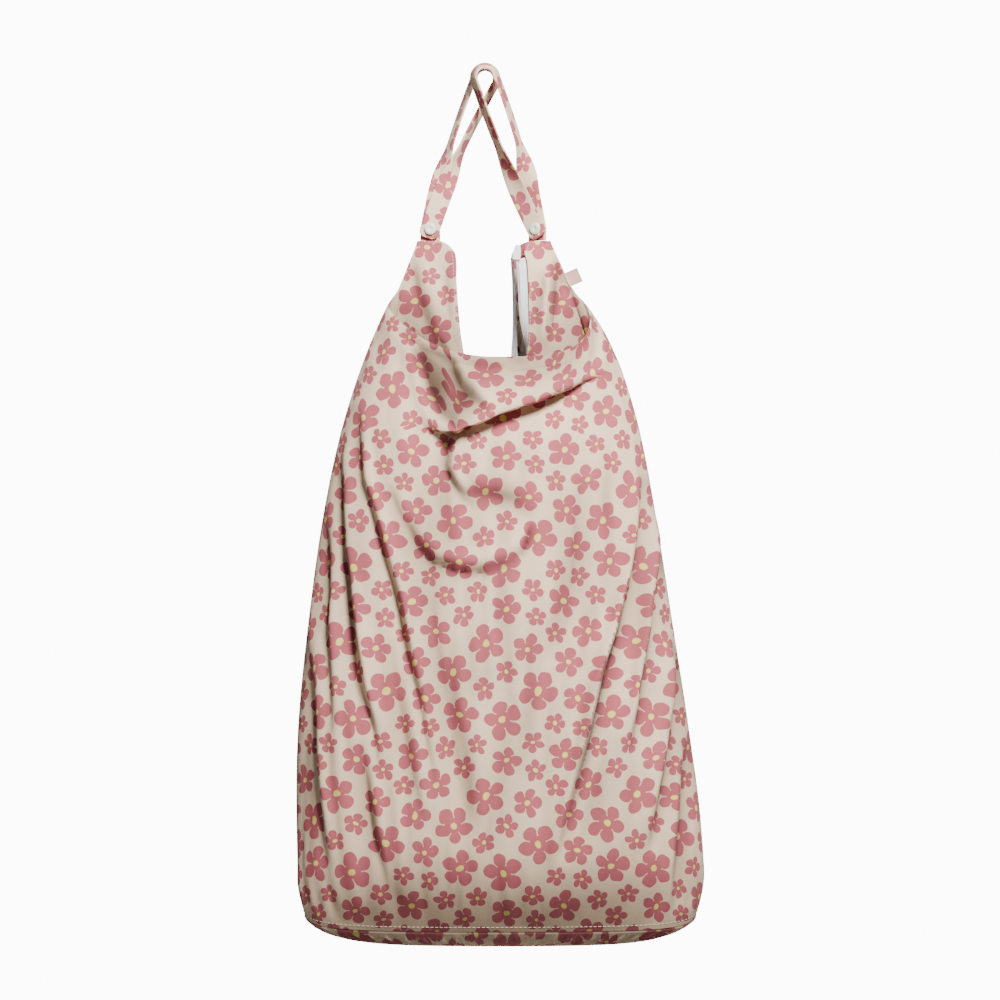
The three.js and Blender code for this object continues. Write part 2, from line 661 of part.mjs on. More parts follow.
// Straps with their snaps. A snap is turned about the line through both strap layers.
for (const made of straps) {
  const strap = strapStations(made);
  const toAxis = new THREE.Quaternion().setFromUnitVectors(new THREE.Vector3(0, 1, 0), strap.axis);
  const holeRadius = postRadius + seamGap;
  const hole = new THREE.CylinderGeometry(holeRadius, holeRadius, 4 * snapPitch, lathePoints);
  hole.applyQuaternion(toAxis);
  const middle = mixPoints(strap.snapBase, strap.snapFront, 0.5);
  hole.translate(middle.x, middle.y, middle.z);
  const band = toSolid(bandGeometry(strap.stations, strapWidth, strapThickness));
  addMesh(`strap_${made.name}`, toGeometry(band.subtract(toSolid(hole))), materials.print);

  const snap = addMesh(`snap_${made.name}`, snapGeometry(), materials.snap);
  snap.quaternion.copy(toAxis);
  snap.position.copy(strap.snapBase);
}

// Zip tapes along both rims, with the coil on their free edges.
const tapeNear = cloth / 2 + seamGap;
const coilNear = tapeNear + tapeWidth + 1.6 * seamGap;
const zipSides = { front: FRONT, back: BACK };
for (const [where, side] of Object.entries(zipSides)) {
  const stations = rimStations(side);
  const tape = stripGeometry(side, stations, tapeNear, tapeNear + tapeWidth, tapeThickness);
  addMesh(`zip_tape_${where}`, tape, materials.zip);
  const coil = stripGeometry(side, stations, coilNear, coilNear + coilWidth, coilThickness);
  addMesh(`zip_coil_${where}`, coil, materials.zip);
}

// The slider is parked where both coils end, at the right shoulder.
function sliderGeometry(opening) {
  const slab = (width, depth, length, y) => {
    const box = new THREE.BoxGeometry(width, depth, length);
    box.translate(0, y, 0);
    return toSolid(box);
  };
  const plateY = (opening + sliderPlate) / 2;
  const front = slab(sliderWidth, sliderPlate, sliderLength, -plateY);
  const back = slab(sliderWidth, sliderPlate, sliderLength, plateY);
  const core = slab(sliderCore, opening + sliderPlate, sliderLength * 0.6, 0);
  return toGeometry(front.add(back).add(core));
}

const coilEnd = rimStations(FRONT).at(-1);
const slider = addMesh('zip_slider', sliderGeometry(coilThickness), materials.zip);
const sliderFrame = new THREE.Matrix4().makeBasis(
  coilEnd.beyond.clone().negate(),
  coilEnd.normal.clone().negate(),
  coilEnd.alongRim,
);
slider.quaternion.setFromRotationMatrix(sliderFrame);
slider.position.copy(coilEnd.root);
slider.position.addScaledVector(coilEnd.beyond, coilNear + coilWidth / 2);
slider.position.addScaledVector(coilEnd.alongRim, sliderLength / 2 + seamGap);

// The label stands out of the right side seam.
const labelTop = shellPoint(1, topZ - labelDrop + labelWidth / 2, FRONT);
const labelFoot = shellPoint(1, topZ - labelDrop - labelWidth / 2, FRONT);
const labelWay = labelFoot.clone().sub(labelTop).setY(0).normalize();
const labelOut = new THREE.Vector3(-labelWay.z, 0, labelWay.x);
const labelRow = (share, lift) =>
  [0, 0.5, 1].map((reach) => {
    const point = labelTop.clone().addScaledVector(labelWay, share * labelWidth);
    point.addScaledVector(labelOut, seamGap + reach * labelReach);
    point.y = lift - labelCurl * reach * reach;
    return point;
  });
const labelShares = [0, 0.5, 1];
const labelFront = labelShares.map((share) => labelRow(share, -labelThickness / 2));
const labelBack = labelShares.map((share) => labelRow(share, labelThickness / 2));
addMesh('side_label', slabGeometry(labelFront, labelBack, FRONT), materials.label);

export default BAG;
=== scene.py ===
"""A large hanging wet bag for cloth diapers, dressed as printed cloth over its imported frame."""
import math

import bpy
import numpy as np
from bpy.props import FloatProperty, FloatVectorProperty, IntProperty, PointerProperty
from mathutils import Matrix, Quaternion, Vector, noise


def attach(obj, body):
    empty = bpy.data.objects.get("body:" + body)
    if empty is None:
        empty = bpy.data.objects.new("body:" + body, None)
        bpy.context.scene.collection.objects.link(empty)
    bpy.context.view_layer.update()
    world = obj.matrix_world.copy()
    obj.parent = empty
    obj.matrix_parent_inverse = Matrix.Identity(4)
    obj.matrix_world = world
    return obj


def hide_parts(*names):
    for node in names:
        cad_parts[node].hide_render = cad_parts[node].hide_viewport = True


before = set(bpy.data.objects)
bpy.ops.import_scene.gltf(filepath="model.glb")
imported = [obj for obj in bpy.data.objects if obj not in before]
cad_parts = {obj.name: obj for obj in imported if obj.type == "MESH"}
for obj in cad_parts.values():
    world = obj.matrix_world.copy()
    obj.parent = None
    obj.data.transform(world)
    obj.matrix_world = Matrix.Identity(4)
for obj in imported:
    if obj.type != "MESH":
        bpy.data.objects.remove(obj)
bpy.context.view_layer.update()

bl_info = {
    "name": "Hanging Wet Bag",
    "version": (1, 0, 0),
    "blender": (4, 5, 0),
    "location": "View3D > Sidebar > Wet Bag",
    "description": "Builds a hanging cloth wet bag with its straps, snaps, zip and print",
    "category": "Add Mesh",
}

FRONT = -1
BACK = 1

# Side seams and fullness down the bag, as in the frame. level is a share of the height below the strap
# seam, flare runs from the neck (0) to the widest part (1), lean is a share of the width, and the last
# three are shares of the depth.
SECTIONS = {
    "level": [0.0, 0.04, 0.078, 0.088, 0.15, 0.21, 0.3, 0.42, 0.55, 0.7, 0.82, 0.91, 0.96, 1.0],
    "flare": [0.0, 0.084, 0.172, 0.228, 0.4, 0.518, 0.642, 0.755, 0.85, 0.945, 0.99, 1.0, 0.945, 0.87],
    "lean": [-0.003, -0.001, 0.001, 0.004, 0.0135, 0.0145, 0.0125, 0.011, 0.0135, 0.021, 0.033, 0.039, 0.038, 0.038],
    "front": [-0.07, -0.11, -0.19, -0.21, -0.34, -0.46, -0.555, -0.615, -0.685, -0.745, -0.76, -0.72, -0.655, -0.55],
    "back": [0.07, 0.1, 0.12, 0.125, 0.15, 0.17, 0.19, 0.205, 0.22, 0.23, 0.235, 0.23, 0.21, 0.17],
    "seam": [0.0, 0.0, -0.01, -0.015, -0.04, -0.06, -0.1, -0.14, -0.18, -0.215, -0.235, -0.24, -0.24, -0.24],
}
SECTION_POWER = 2.35

# Rim of the mouth from its lowest point (along 0) to a side seam (along 1), in shares as in the frame.
RIM = {
    "along": [0.0, 0.1, 0.2, 0.3, 0.4, 0.62, 0.7, 0.75, 0.79, 0.83, 0.88, 1.0],
    "inner": [0.0, 0.47, 0.78, 0.88, 0.95, 1.0, 0.99, 0.97, 1.0, 1.0, 1.0, 1.0],
    "outer": [0.0, 0.0, 0.0, 0.0, 0.0, 0.0, 0.0, 0.02, 0.11, 0.25, 0.45, 1.0],
    "up": [0.0, 0.025, 0.1, 0.24, 0.4, 0.74, 0.835, 0.9, 0.95, 0.982, 1.0, 1.0],
    "open": [1.0, 1.0, 0.95, 0.9, 0.85, 0.72, 0.65, 0.6, 0.44, 0.27, 0.12, 0.0],
}
NECKLINE_RISE = {"left": 1.9, "right": 4.2}

# Folds as lines of (x, level) from their upper end, in shares of the width and height. The cloth steps down
# over the line and recovers slowly on its lower side, which is the left for out 1 and the right for out -1.
# depth is the step in shares of the depth, width is its half width in shares of the width, tail is how many
# of those the lower side takes to recover, ridge is the upper side's height in shares of the step, shade is
# how much painted shade darkens the colour of the lower side, and fade is how many widths that painted shade
# takes to end.
FRONT_FOLDS = [
    {
        "line": [
            (-0.215, 0.1), (-0.185, 0.13), (-0.149, 0.175), (-0.133, 0.214), (-0.116, 0.245), (-0.079, 0.268),
            (-0.03, 0.27),
        ],
        "depth": 0.05, "width": 0.012, "tail": 5.5, "out": -1, "ridge": 0.5, "shade": 0.97, "fade": 7.0,
    },
    {
        "line": [
            (-0.115, 0.14), (-0.088, 0.17), (-0.062, 0.2), (-0.03, 0.222), (0.01, 0.25),
        ],
        "depth": 0.05, "width": 0.009, "tail": 5.0, "out": 1, "ridge": 0.6, "shade": 0.95, "fade": 5.0,
    },
    {
        "line": [
            (-0.068, 0.262), (-0.091, 0.298), (-0.096, 0.326), (-0.079, 0.346), (-0.054, 0.368),
            (-0.03, 0.385),
        ],
        "depth": 0.035, "width": 0.008, "tail": 2.5, "out": 1, "ridge": 0.7, "shade": 0.8, "fade": 1.8,
    },
    {
        "line": [
            (-0.075, 0.36), (-0.03, 0.362), (0.02, 0.364), (0.07, 0.372), (0.11, 0.4),
        ],
        "depth": 0.04, "width": 0.018, "tail": 2.2, "out": 1, "ridge": 0.4, "shade": 0.7, "fade": 1.8,
    },
    {
        "line": [
            (-0.24, 0.35), (-0.21, 0.39), (-0.17, 0.435), (-0.13, 0.458), (-0.07, 0.471), (0.0, 0.474),
            (0.062, 0.46), (0.096, 0.44), (0.112, 0.41),
        ],
        "depth": 0.042, "width": 0.012, "tail": 2.8, "out": 1, "ridge": 0.8, "shade": 0.45, "fade": 1.8,
    },
    {
        "line": [
            (0.112, 0.405), (0.103, 0.43), (0.082, 0.458),
        ],
        "depth": 0.03, "width": 0.006, "tail": 2.0, "out": -1, "ridge": 0.6, "shade": 0.85, "fade": 1.6,
    },
    {
        "line": [
            (0.06, 0.13), (0.085, 0.17), (0.095, 0.21),
        ],
        "depth": 0.02, "width": 0.014, "tail": 2.5, "out": -1, "ridge": 0.5, "shade": 0.4, "fade": 1.8,
    },
    {
        "line": [
            (-0.313, 0.24), (-0.303, 0.343), (-0.261, 0.42), (-0.214, 0.516), (-0.192, 0.578),
            (-0.165, 0.641), (-0.12, 0.79),
        ],
        "depth": 0.06, "width": 0.0095, "tail": 4.5, "out": 1, "ridge": 0.6, "shade": 0.3, "fade": 1.6,
    },
    {
        "line": [
            (-0.365, 0.3), (-0.35, 0.447), (-0.33, 0.528), (-0.298, 0.638), (-0.273, 0.689), (-0.25, 0.79),
        ],
        "depth": 0.06, "width": 0.0095, "tail": 4.5, "out": 1, "ridge": 0.6, "shade": 0.2, "fade": 1.6,
    },
    {
        "line": [
            (-0.401, 0.38), (-0.392, 0.543), (-0.374, 0.7),
        ],
        "depth": 0.05, "width": 0.0095, "tail": 4.0, "out": 1, "ridge": 0.6, "shade": 0.2, "fade": 1.6,
    },
    {
        "line": [
            (-0.438, 0.56), (-0.416, 0.769), (-0.385, 0.89),
        ],
        "depth": 0.045, "width": 0.0095, "tail": 3.5, "out": 1, "ridge": 0.6, "shade": 0.15, "fade": 1.6,
    },
    {
        "line": [
            (-0.305, 0.71), (-0.273, 0.832), (-0.235, 0.93),
        ],
        "depth": 0.045, "width": 0.012, "tail": 4.0, "out": 1, "ridge": 0.6, "shade": 0.45, "fade": 2.2,
    },
    {
        "line": [
            (0.3916, 0.34), (0.379, 0.429), (0.367, 0.472), (0.347, 0.514), (0.33, 0.554), (0.31, 0.586),
            (0.293, 0.614), (0.278, 0.65), (0.2635, 0.685), (0.2315, 0.756), (0.209, 0.806), (0.175, 0.88),
        ],
        "depth": 0.1, "width": 0.0085, "tail": 4.5, "out": -1, "ridge": 0.8, "shade": 0.97, "fade": 1.6,
    },
    {
        "line": [
            (0.45, 0.38), (0.4335, 0.472), (0.4187, 0.514), (0.409, 0.557), (0.389, 0.614), (0.377, 0.664),
            (0.35, 0.73),
        ],
        "depth": 0.09, "width": 0.0085, "tail": 4.0, "out": -1, "ridge": 0.8, "shade": 1.0, "fade": 1.8,
    },
    {
        "line": [
            (0.482, 0.55), (0.4704, 0.657), (0.4458, 0.742), (0.426, 0.799), (0.4, 0.87),
        ],
        "depth": 0.075, "width": 0.0095, "tail": 3.5, "out": -1, "ridge": 0.8, "shade": 0.95, "fade": 1.6,
    },
    {
        "line": [
            (0.507, 0.7), (0.488, 0.8), (0.475, 0.856), (0.46, 0.93),
        ],
        "depth": 0.05, "width": 0.0095, "tail": 3.5, "out": -1, "ridge": 0.7, "shade": 0.8, "fade": 1.6,
    },
    {
        "line": [
            (-0.355, 0.43), (-0.338, 0.52), (-0.325, 0.6), (-0.3, 0.68),
        ],
        "depth": 0.022, "width": 0.009, "tail": 3.0, "out": 1, "ridge": 0.6, "shade": 0.35, "fade": 1.6,
    },
    {
        "line": [
            (-0.24, 0.55), (-0.215, 0.65), (-0.18, 0.75), (-0.14, 0.84),
        ],
        "depth": 0.035, "width": 0.014, "tail": 3.0, "out": 1, "ridge": 0.6, "shade": 0.35, "fade": 2.5,
    },
    {
        "line": [
            (-0.14, 0.5), (-0.11, 0.6), (-0.08, 0.72), (-0.05, 0.82),
        ],
        "depth": 0.03, "width": 0.016, "tail": 3.0, "out": 1, "ridge": 0.6, "shade": 0.25, "fade": 2.5,
    },
    {
        "line": [
            (0.235, 0.34), (0.225, 0.45), (0.205, 0.57),
        ],
        "depth": 0.04, "width": 0.016, "tail": 3.0, "out": -1, "ridge": 0.6, "shade": 0.3, "fade": 2.5,
    },
    {
        "line": [
            (0.3, 0.7), (0.27, 0.78), (0.23, 0.87),
        ],
        "depth": 0.03, "width": 0.014, "tail": 3.0, "out": -1, "ridge": 0.6, "shade": 0.3, "fade": 2.2,
    },
    {
        "line": [
            (0.278, 0.1), (0.27, 0.14), (0.258, 0.19),
        ],
        "depth": 0.03, "width": 0.012, "tail": 3.0, "out": 1, "ridge": 0.5, "shade": 0.5, "fade": 2.0,
    },
    {
        "line": [
            (0.2, 0.44), (0.185, 0.52), (0.15, 0.6),
        ],
        "depth": 0.03, "width": 0.018, "tail": 3.0, "out": -1, "ridge": 0.5, "shade": 0.35, "fade": 2.0,
    },
    {
        "line": [
            (-0.09, 0.6), (-0.05, 0.72), (-0.02, 0.86),
        ],
        "depth": 0.025, "width": 0.018, "tail": 3.5, "out": 1, "ridge": 0.5, "shade": 0.3, "fade": 2.0,
    },
    {
        "line": [
            (0.06, 0.64), (0.04, 0.76), (0.03, 0.87),
        ],
        "depth": 0.025, "width": 0.018, "tail": 3.5, "out": -1, "ridge": 0.5, "shade": 0.3, "fade": 2.0,
    },
]
COLLAR_FOLDS = [
    {
        "line": [
            (0.178, 0.02), (0.175, 0.07), (0.165, 0.15),
        ],
        "depth": 0.075, "width": 0.01, "tail": 3.0, "out": -1, "ridge": 0.5, "shade": 0.7, "fade": 1.8,
    },
    {
        "line": [
            (0.145, 0.04), (0.13, 0.09), (0.11, 0.15),
        ],
        "depth": 0.05, "width": 0.01, "tail": 3.0, "out": 1, "ridge": 0.5, "shade": 0.55, "fade": 1.8,
    },
    {
        "line": [
            (-0.19, 0.01), (-0.168, 0.08), (-0.125, 0.16),
        ],
        "depth": 0.04, "width": 0.012, "tail": 3.0, "out": 1, "ridge": 0.5, "shade": 0.4, "fade": 1.8,
    },
    {
        "line": [
            (-0.1, 0.03), (-0.09, 0.09), (-0.075, 0.16),
        ],
        "depth": 0.03, "width": 0.012, "tail": 3.0, "out": -1, "ridge": 0.5, "shade": 0.5, "fade": 1.8,
    },
]
BACK_FOLDS = [
    {
        "line": [
            (-0.16, 0.26), (-0.2, 0.45), (-0.25, 0.7),
        ],
        "depth": 0.05, "width": 0.011, "tail": 4.0, "out": 1, "ridge": 0.5, "shade": 0.6, "fade": 1.8,
    },
    {
        "line": [
            (-0.05, 0.3), (-0.04, 0.5), (-0.06, 0.76),
        ],
        "depth": 0.035, "width": 0.012, "tail": 4.0, "out": 1, "ridge": 0.5, "shade": 0.5, "fade": 1.8,
    },
    {
        "line": [
            (0.08, 0.28), (0.1, 0.5), (0.09, 0.74),
        ],
        "depth": 0.04, "width": 0.012, "tail": 4.0, "out": -1, "ridge": 0.5, "shade": 0.5, "fade": 1.8,
    },
    {
        "line": [
            (0.22, 0.24), (0.27, 0.45), (0.31, 0.72),
        ],
        "depth": 0.05, "width": 0.011, "tail": 4.0, "out": -1, "ridge": 0.5, "shade": 0.6, "fade": 1.8,
    },
    {
        "line": [
            (-0.3, 0.35), (-0.35, 0.6), (-0.37, 0.8),
        ],
        "depth": 0.04, "width": 0.011, "tail": 3.0, "out": 1, "ridge": 0.5, "shade": 0.6, "fade": 1.8,
    },
    {
        "line": [
            (0.34, 0.33), (0.39, 0.6), (0.42, 0.8),
        ],
        "depth": 0.04, "width": 0.011, "tail": 3.0, "out": -1, "ridge": 0.5, "shade": 0.6, "fade": 1.8,
    },
]

# Broad hollows and swells of the front. at and reach are shares of the width and height. depth is how deep the
# middle lies in shares of the depth, below 0 for a swell, and shade is how much painted shade darkens its colour
# there. Where the depth is 0, there is no hollow, only painted shade.
HOLLOWS = [
    {"at": (-0.135, 0.45), "reach": (0.075, 0.09), "depth": 0.035, "shade": 0.4},
    {"at": (-0.335, 0.45), "reach": (0.05, 0.12), "depth": 0.0, "shade": 0.35},
    {"at": (-0.06, 0.62), "reach": (0.09, 0.06), "depth": 0.025, "shade": 0.2},
    {"at": (0.385, 0.5), "reach": (0.04, 0.1), "depth": 0.0, "shade": 0.25},
    {"at": (0.475, 0.7), "reach": (0.03, 0.12), "depth": 0.0, "shade": 0.25},
    {"at": (0.2, 0.44), "reach": (0.045, 0.1), "depth": 0.02, "shade": 0.2},
    {"at": (0.0, 0.2), "reach": (0.12, 0.03), "depth": 0.02, "shade": 0.25},
    {"at": (-0.16, 0.165), "reach": (0.024, 0.03), "depth": 0.012, "shade": 0.62},
    {"at": (-0.118, 0.197), "reach": (0.026, 0.03), "depth": 0.008, "shade": 0.55},
    {"at": (-0.06, 0.23), "reach": (0.028, 0.026), "depth": 0.008, "shade": 0.6},
    {"at": (0.045, 0.44), "reach": (0.06, 0.07), "depth": -0.03, "shade": 0.0},
    {"at": (0.29, 0.7), "reach": (0.07, 0.09), "depth": -0.035, "shade": 0.0},
    {"at": (-0.22, 0.3), "reach": (0.06, 0.07), "depth": -0.025, "shade": 0.0},
]

# The two straps, as in the frame: bows are shares of the strap's width.
STRAPS = [
    {"name": "left", "side": -1, "snap_turn": 0, "outer_bow": -0.22, "inner_bow": -0.25},
    {"name": "right", "side": 1, "snap_turn": -28, "outer_bow": 0.22, "inner_bow": -0.15},
]


def length_property(name, description, default):
    return FloatProperty(
        name=name, description=description, default=default, min=0.0, subtype="DISTANCE", unit="LENGTH"
    )


def colour_property(name, description, default):
    return FloatVectorProperty(
        name=name, description=description, default=default, size=3, min=0.0, max=1.0, subtype="COLOR"
    )


class BagSizes(bpy.types.PropertyGroup):
    """Sizes of the cloth shell, its mouth and its straps"""

    width: length_property("Width", "Widest silhouette, near the base", 0.406)
    height: length_property("Height", "Strap seam to the lowest point of the base", 0.702)
    depth: length_property("Depth", "Reach of the front and back together", 0.150)
    neck: length_property("Neck", "Across the two side seams at the straps", 0.134)
    cloth: length_property("Cloth", "Thickness of the cloth with its lining", 0.0016)
    gap: length_property("Gap", "Parting between sewn pieces", 0.0003)
    mouth_width: length_property("Mouth Width", "Between the two shoulders", 0.059)
    mouth_depth: length_property("Mouth Depth", "Front rim to back rim", 0.036)
    mouth_drop: length_property("Mouth Drop", "Strap seam to the rim's lowest point", 0.140)
    mouth_slant: length_property("Mouth Slant", "Sideways lean of the mouth", 0.006)
    mouth_gape: length_property("Mouth Gape", "How far the front rim's right side lies out", 0.0135)
    neckline_drop: length_property("Neckline Drop", "Strap seam to the draped neckline", 0.120)
    back_full_drop: length_property("Back Drop", "Strap seam to the back's full shape", 0.175)
    shoulder_drop: length_property("Shoulder Drop", "Strap seam to the neckline at the side seams", 0.065)
    turn_in: length_property("Turn In", "Cloth hidden behind the neckline", 0.062)
    layer_gap: length_property("Layer Gap", "Between the layers of the neckline's pleat", 0.008)
    roll_rise: length_property("Roll", "Half thickness of the neckline's roll", 0.005)
    swag_bulge: length_property("Swag Bulge", "Forward reach of the swag", 0.020)
    swag_overhang: length_property("Swag Overhang", "How far the swag's lip hangs over", 0.007)
    swag_drop: length_property("Swag Drop", "Strap seam to the lip's low end", 0.187)
    swag_climb: length_property("Swag Climb", "Rise of the lip to the right", 0.062)
    base_sag: length_property("Base Sag", "How far the base hangs below its seam", 0.016)
    corner_lift: length_property("Corner Lift", "Climb of the base seam at the side seams", 0.013)
    strap_drop: length_property("Strap Drop", "Peg centre to strap seam", 0.164)
    strap_width: length_property("Strap Width", "Width of a strap", 0.020)
    strap_thickness: length_property("Strap Thickness", "Thickness of a strap", 0.0024)
    strap_inset: length_property("Strap Inset", "Strap edge to the side seam", 0.003)
    strap_tail: length_property("Strap Tail", "Strap end beyond the snap", 0.0095)
    peg_radius: length_property("Peg Radius", "Radius of the space that the straps hang on", 0.010)
    strap_spacing: length_property("Strap Spacing", "Between the straps on the peg", 0.003)
    snap_height: length_property("Snap Height", "Snap centre above the strap seam", 0.012)
    snap_diameter: length_property("Snap Diameter", "Across a snap's cap", 0.0124)
    snap_stack: length_property("Snap Stack", "Between the strap layers at a snap", 0.0018)
    cap_thickness: length_property("Cap Thickness", "Height of a snap's cap", 0.0018)
    tape_width: length_property("Tape Width", "Zip tape that shows beyond the rim", 0.0075)
    coil_width: length_property("Coil Width", "Width of the zip coil", 0.0022)
    label_width: length_property("Label Width", "Label along the seam", 0.015)
    label_reach: length_property("Label Reach", "Label out of the seam", 0.0135)
    label_drop: length_property("Label Drop", "Strap seam to the label's centre", 0.040)


class PrintLook(bpy.types.PropertyGroup):
    """The flower print and the bag's colours"""

    repeat: length_property("Repeat", "Side of the print's square repeat", 0.150)
    large: length_property("Large Flower", "Radius of a large flower", 0.0190)
    medium: length_property("Medium Flower", "Radius of a medium flower", 0.0156)
    small: length_property("Small Flower", "Radius of a small flower", 0.0106)
    spacing: length_property("Spacing", "Ground left between flowers", 0.0030)
    seed: IntProperty(name="Seed", description="Picks the flowers' layout", default=5)
    ground: colour_property("Ground", "Cream ground of the cloth", (0.79, 0.58, 0.395))
    petal: colour_property("Petals", "Dusty pink of the flowers", (0.455, 0.108, 0.125))
    eye: colour_property("Eyes", "Yellow of the flowers' middles", (0.78, 0.66, 0.16))
    lining: colour_property("Lining", "Waterproof lining", (0.80, 0.77, 0.72))
    tape: colour_property("Tape", "Zip tape and coil", (0.88, 0.87, 0.90))
    snap: colour_property("Snaps", "Moulded snaps", (0.76, 0.78, 0.66))
    label: colour_property("Label", "Folded side label", (0.66, 0.37, 0.32))
    thread: colour_property("Thread", "Sewing thread", (0.80, 0.66, 0.52))


class StageLook(bpy.types.PropertyGroup):
    """Camera and studio light"""

    camera_distance: length_property("Camera Distance", "Camera to the side seams", 4.0)
    view_width: length_property("View Width", "Width of the view at the side seams", 1.0)
    key: FloatProperty(
        name="Key Light", description="Soft light above the front, to the right", default=104.0, min=0.0, unit="POWER"
    )
    fill: FloatProperty(name="Fill Light", description="Weak light from the left", default=4.0, min=0.0, unit="POWER")
    rear: FloatProperty(name="Rear Light", description="Soft light above the back", default=60.0, min=0.0, unit="POWER")
    ambient: FloatProperty(name="Ambient", description="Strength of the surroundings", default=0.05, min=0.0)


def sizes():
    return bpy.context.scene.bag_sizes


def looks():
    return bpy.context.scene.bag_print


def mix(a, b, share):
    return a + (b - a) * share


def smooth(share):
    share = np.clip(share, 0.0, 1.0)
    return share * share * (3.0 - 2.0 * share)


def read_table(table, key, column, at):
    """A curve without overshoot through one column of a table."""
    place = np.array(table[key])
    value = np.array(table[column])
    secant = np.diff(value) / np.diff(place)
    slope = np.zeros(len(place))
    both = secant[:-1] * secant[1:] > 0
    slope[1:-1][both] = (2 * secant[:-1] * secant[1:])[both] / (secant[:-1] + secant[1:])[both]
    slope[0] = 1.5 * secant[0] - 0.5 * slope[1]
    slope[-1] = 1.5 * secant[-1] - 0.5 * slope[-2]
    at = np.clip(at, place[0], place[-1])
    i = np.clip(np.searchsorted(place, at, side="right") - 1, 0, len(place) - 2)
    span = place[i + 1] - place[i]
    t = (at - place[i]) / span
    start = (2 * t**3 - 3 * t**2 + 1) * value[i] + (t**3 - 2 * t**2 + t) * span * slope[i]
    return start + (3 * t**2 - 2 * t**3) * value[i + 1] + (t**3 - t**2) * span * slope[i + 1]


def section(z, column):
    size = sizes()
    return read_table(SECTIONS, "level", column, (-size.strap_drop - z) / size.height)


def shell_point(across, z, side):
    """A point of the plain shell: across runs from the left side seam (-1) to the right one (1)."""
    size = sizes()
    turn = np.sin(across * math.pi / 2)
    half = mix(size.neck / 2, size.width / 2, section(z, "flare"))
    fullness = (1 - np.minimum(np.abs(turn), 1.0) ** SECTION_POWER) ** (1 / SECTION_POWER)
    seam = section(z, "seam") * size.depth
    reach = section(z, "front" if side == FRONT else "back") * size.depth
    x = section(z, "lean") * size.width + half * turn
    y = mix(seam, reach, fullness) + side * (size.cloth + size.gap / 2)
    return np.stack(np.broadcast_arrays(x, y, z), axis=-1)


def rim_point(across, side):
    size = sizes()
    along = np.abs(across)
    top = -size.strap_drop
    out = size.mouth_width / 2 * read_table(RIM, "along", "inner", along)
    out = out + (size.neck - size.mouth_width) / 2 * read_table(RIM, "along", "outer", along)
    up = read_table(RIM, "along", "up", along)
    gape = np.where(across > 0, size.mouth_gape * smooth(along / 0.3) * smooth((0.9 - along) / 0.2), 0.0)
    slant = size.mouth_slant * (1 - up) + (gape if side == FRONT else -0.2 * gape)
    middle = -0.55 * size.layer_gap * (1 - along) if side == FRONT else 0.0
    x = np.sign(across) * out + section(top, "lean") * size.width + slant
    y = side * (size.mouth_depth / 2 * read_table(RIM, "along", "open", along) + size.cloth + size.gap / 2) + middle
    return np.stack([x, y, top - size.mouth_drop * (1 - up)], axis=-1)


def neckline_z(across, side):
    size = sizes()
    drop = size.neckline_drop if side == FRONT else size.back_full_drop
    rise = np.where(across < 0, NECKLINE_RISE["left"], NECKLINE_RISE["right"])
    out = np.sin(np.abs(across) * math.pi / 2)
    return -size.strap_drop - drop + (drop - size.shoulder_drop) * out**rise


def seam_z():
    size = sizes()
    return -size.strap_drop - size.height + size.base_sag


def column_keys(across, side):
    """Key points down every column, from the rim, round the pleat and the neckline, to the hem."""
    size = sizes()
    neck_z = neckline_z(across, side)
    neckline = shell_point(across, neck_z, side)
    edge = rim_point(across, side)
    pleat = smooth((1 - np.abs(across)) / 0.3) if side == FRONT else np.zeros_like(across)
    depth = size.turn_in * (1 - across**2)
    inward = -side * size.layer_gap

    def offset(dy, dz):
        return neckline + np.stack(np.broadcast_arrays(0.0 * across, dy, dz), axis=-1)

    def plain(share):
        point = mix(neckline, edge, share)
        return mix(point, shell_point(across, point[:, 2], side), np.abs(across)[:, None] ** 12)

    def pleated(point, share):
        return mix(plain(share), point, pleat[:, None])

    crest = pleated(offset(inward * 0.5, -size.roll_rise), 0.08)
    behind = pleated(offset(inward * 0.6, -depth * 0.6), 0.22)
    low = pleated(offset(inward * 0.9, -depth), 0.36)
    low_back = pleated(offset(inward * 1.5, -depth), 0.5)
    between = mix(plain(0.75), mix(low_back, edge, 0.5), pleat[:, None])
    keys = [edge, between, low_back, low, behind, crest]
    keys.append(neckline + np.stack([0 * across, 0 * across, size.roll_rise * 0.4 * pleat], axis=-1))

    if side == FRONT:
        climb = 1 - (1 - np.clip((across + 0.16) / 1.16, 0.0, 1.0)) ** 1.9
        lip = -size.strap_drop - size.swag_drop + size.swag_climb * climb
        show = smooth((across + 0.3) / 0.16) * smooth((0.72 - across) / 0.5)
    else:
        lip = mix(neck_z, seam_z(), 0.15)
        show = np.zeros_like(across)

    def place(z, forward=0.0, drop=0.0):
        point = shell_point(across, z, side)
        point[:, 1] += side * forward * show
        point[:, 2] -= drop * show
        return point

    bulge, hang = size.swag_bulge, size.swag_overhang
    keys.append(place(mix(neck_z, lip, 0.16), bulge * 0.1))
    keys.append(place(mix(neck_z, lip, 0.45), bulge * 0.4))
    keys.append(place(mix(neck_z, lip, 0.78), bulge * 0.85))
    keys.append(place(lip, bulge, hang))
    keys.append(place(lip - hang * 0.4, bulge * 0.45, hang))
    keys.append(place(lip - hang, -bulge * 0.1, -hang * 0.2))
    hem = seam_z() + size.corner_lift * np.abs(across) ** 5
    rows = 18
    for i in range(1, rows + 1):
        share = mix(i / rows, math.sin(i / rows * math.pi / 2) ** 0.9, 0.45)
        keys.append(place(mix(lip - hang, hem, share)))
    return np.array(keys)


NECKLINE_KEY = 6
FIRST_OUTSIDE_KEY = 7
BELOW_SWAG_KEY = 13
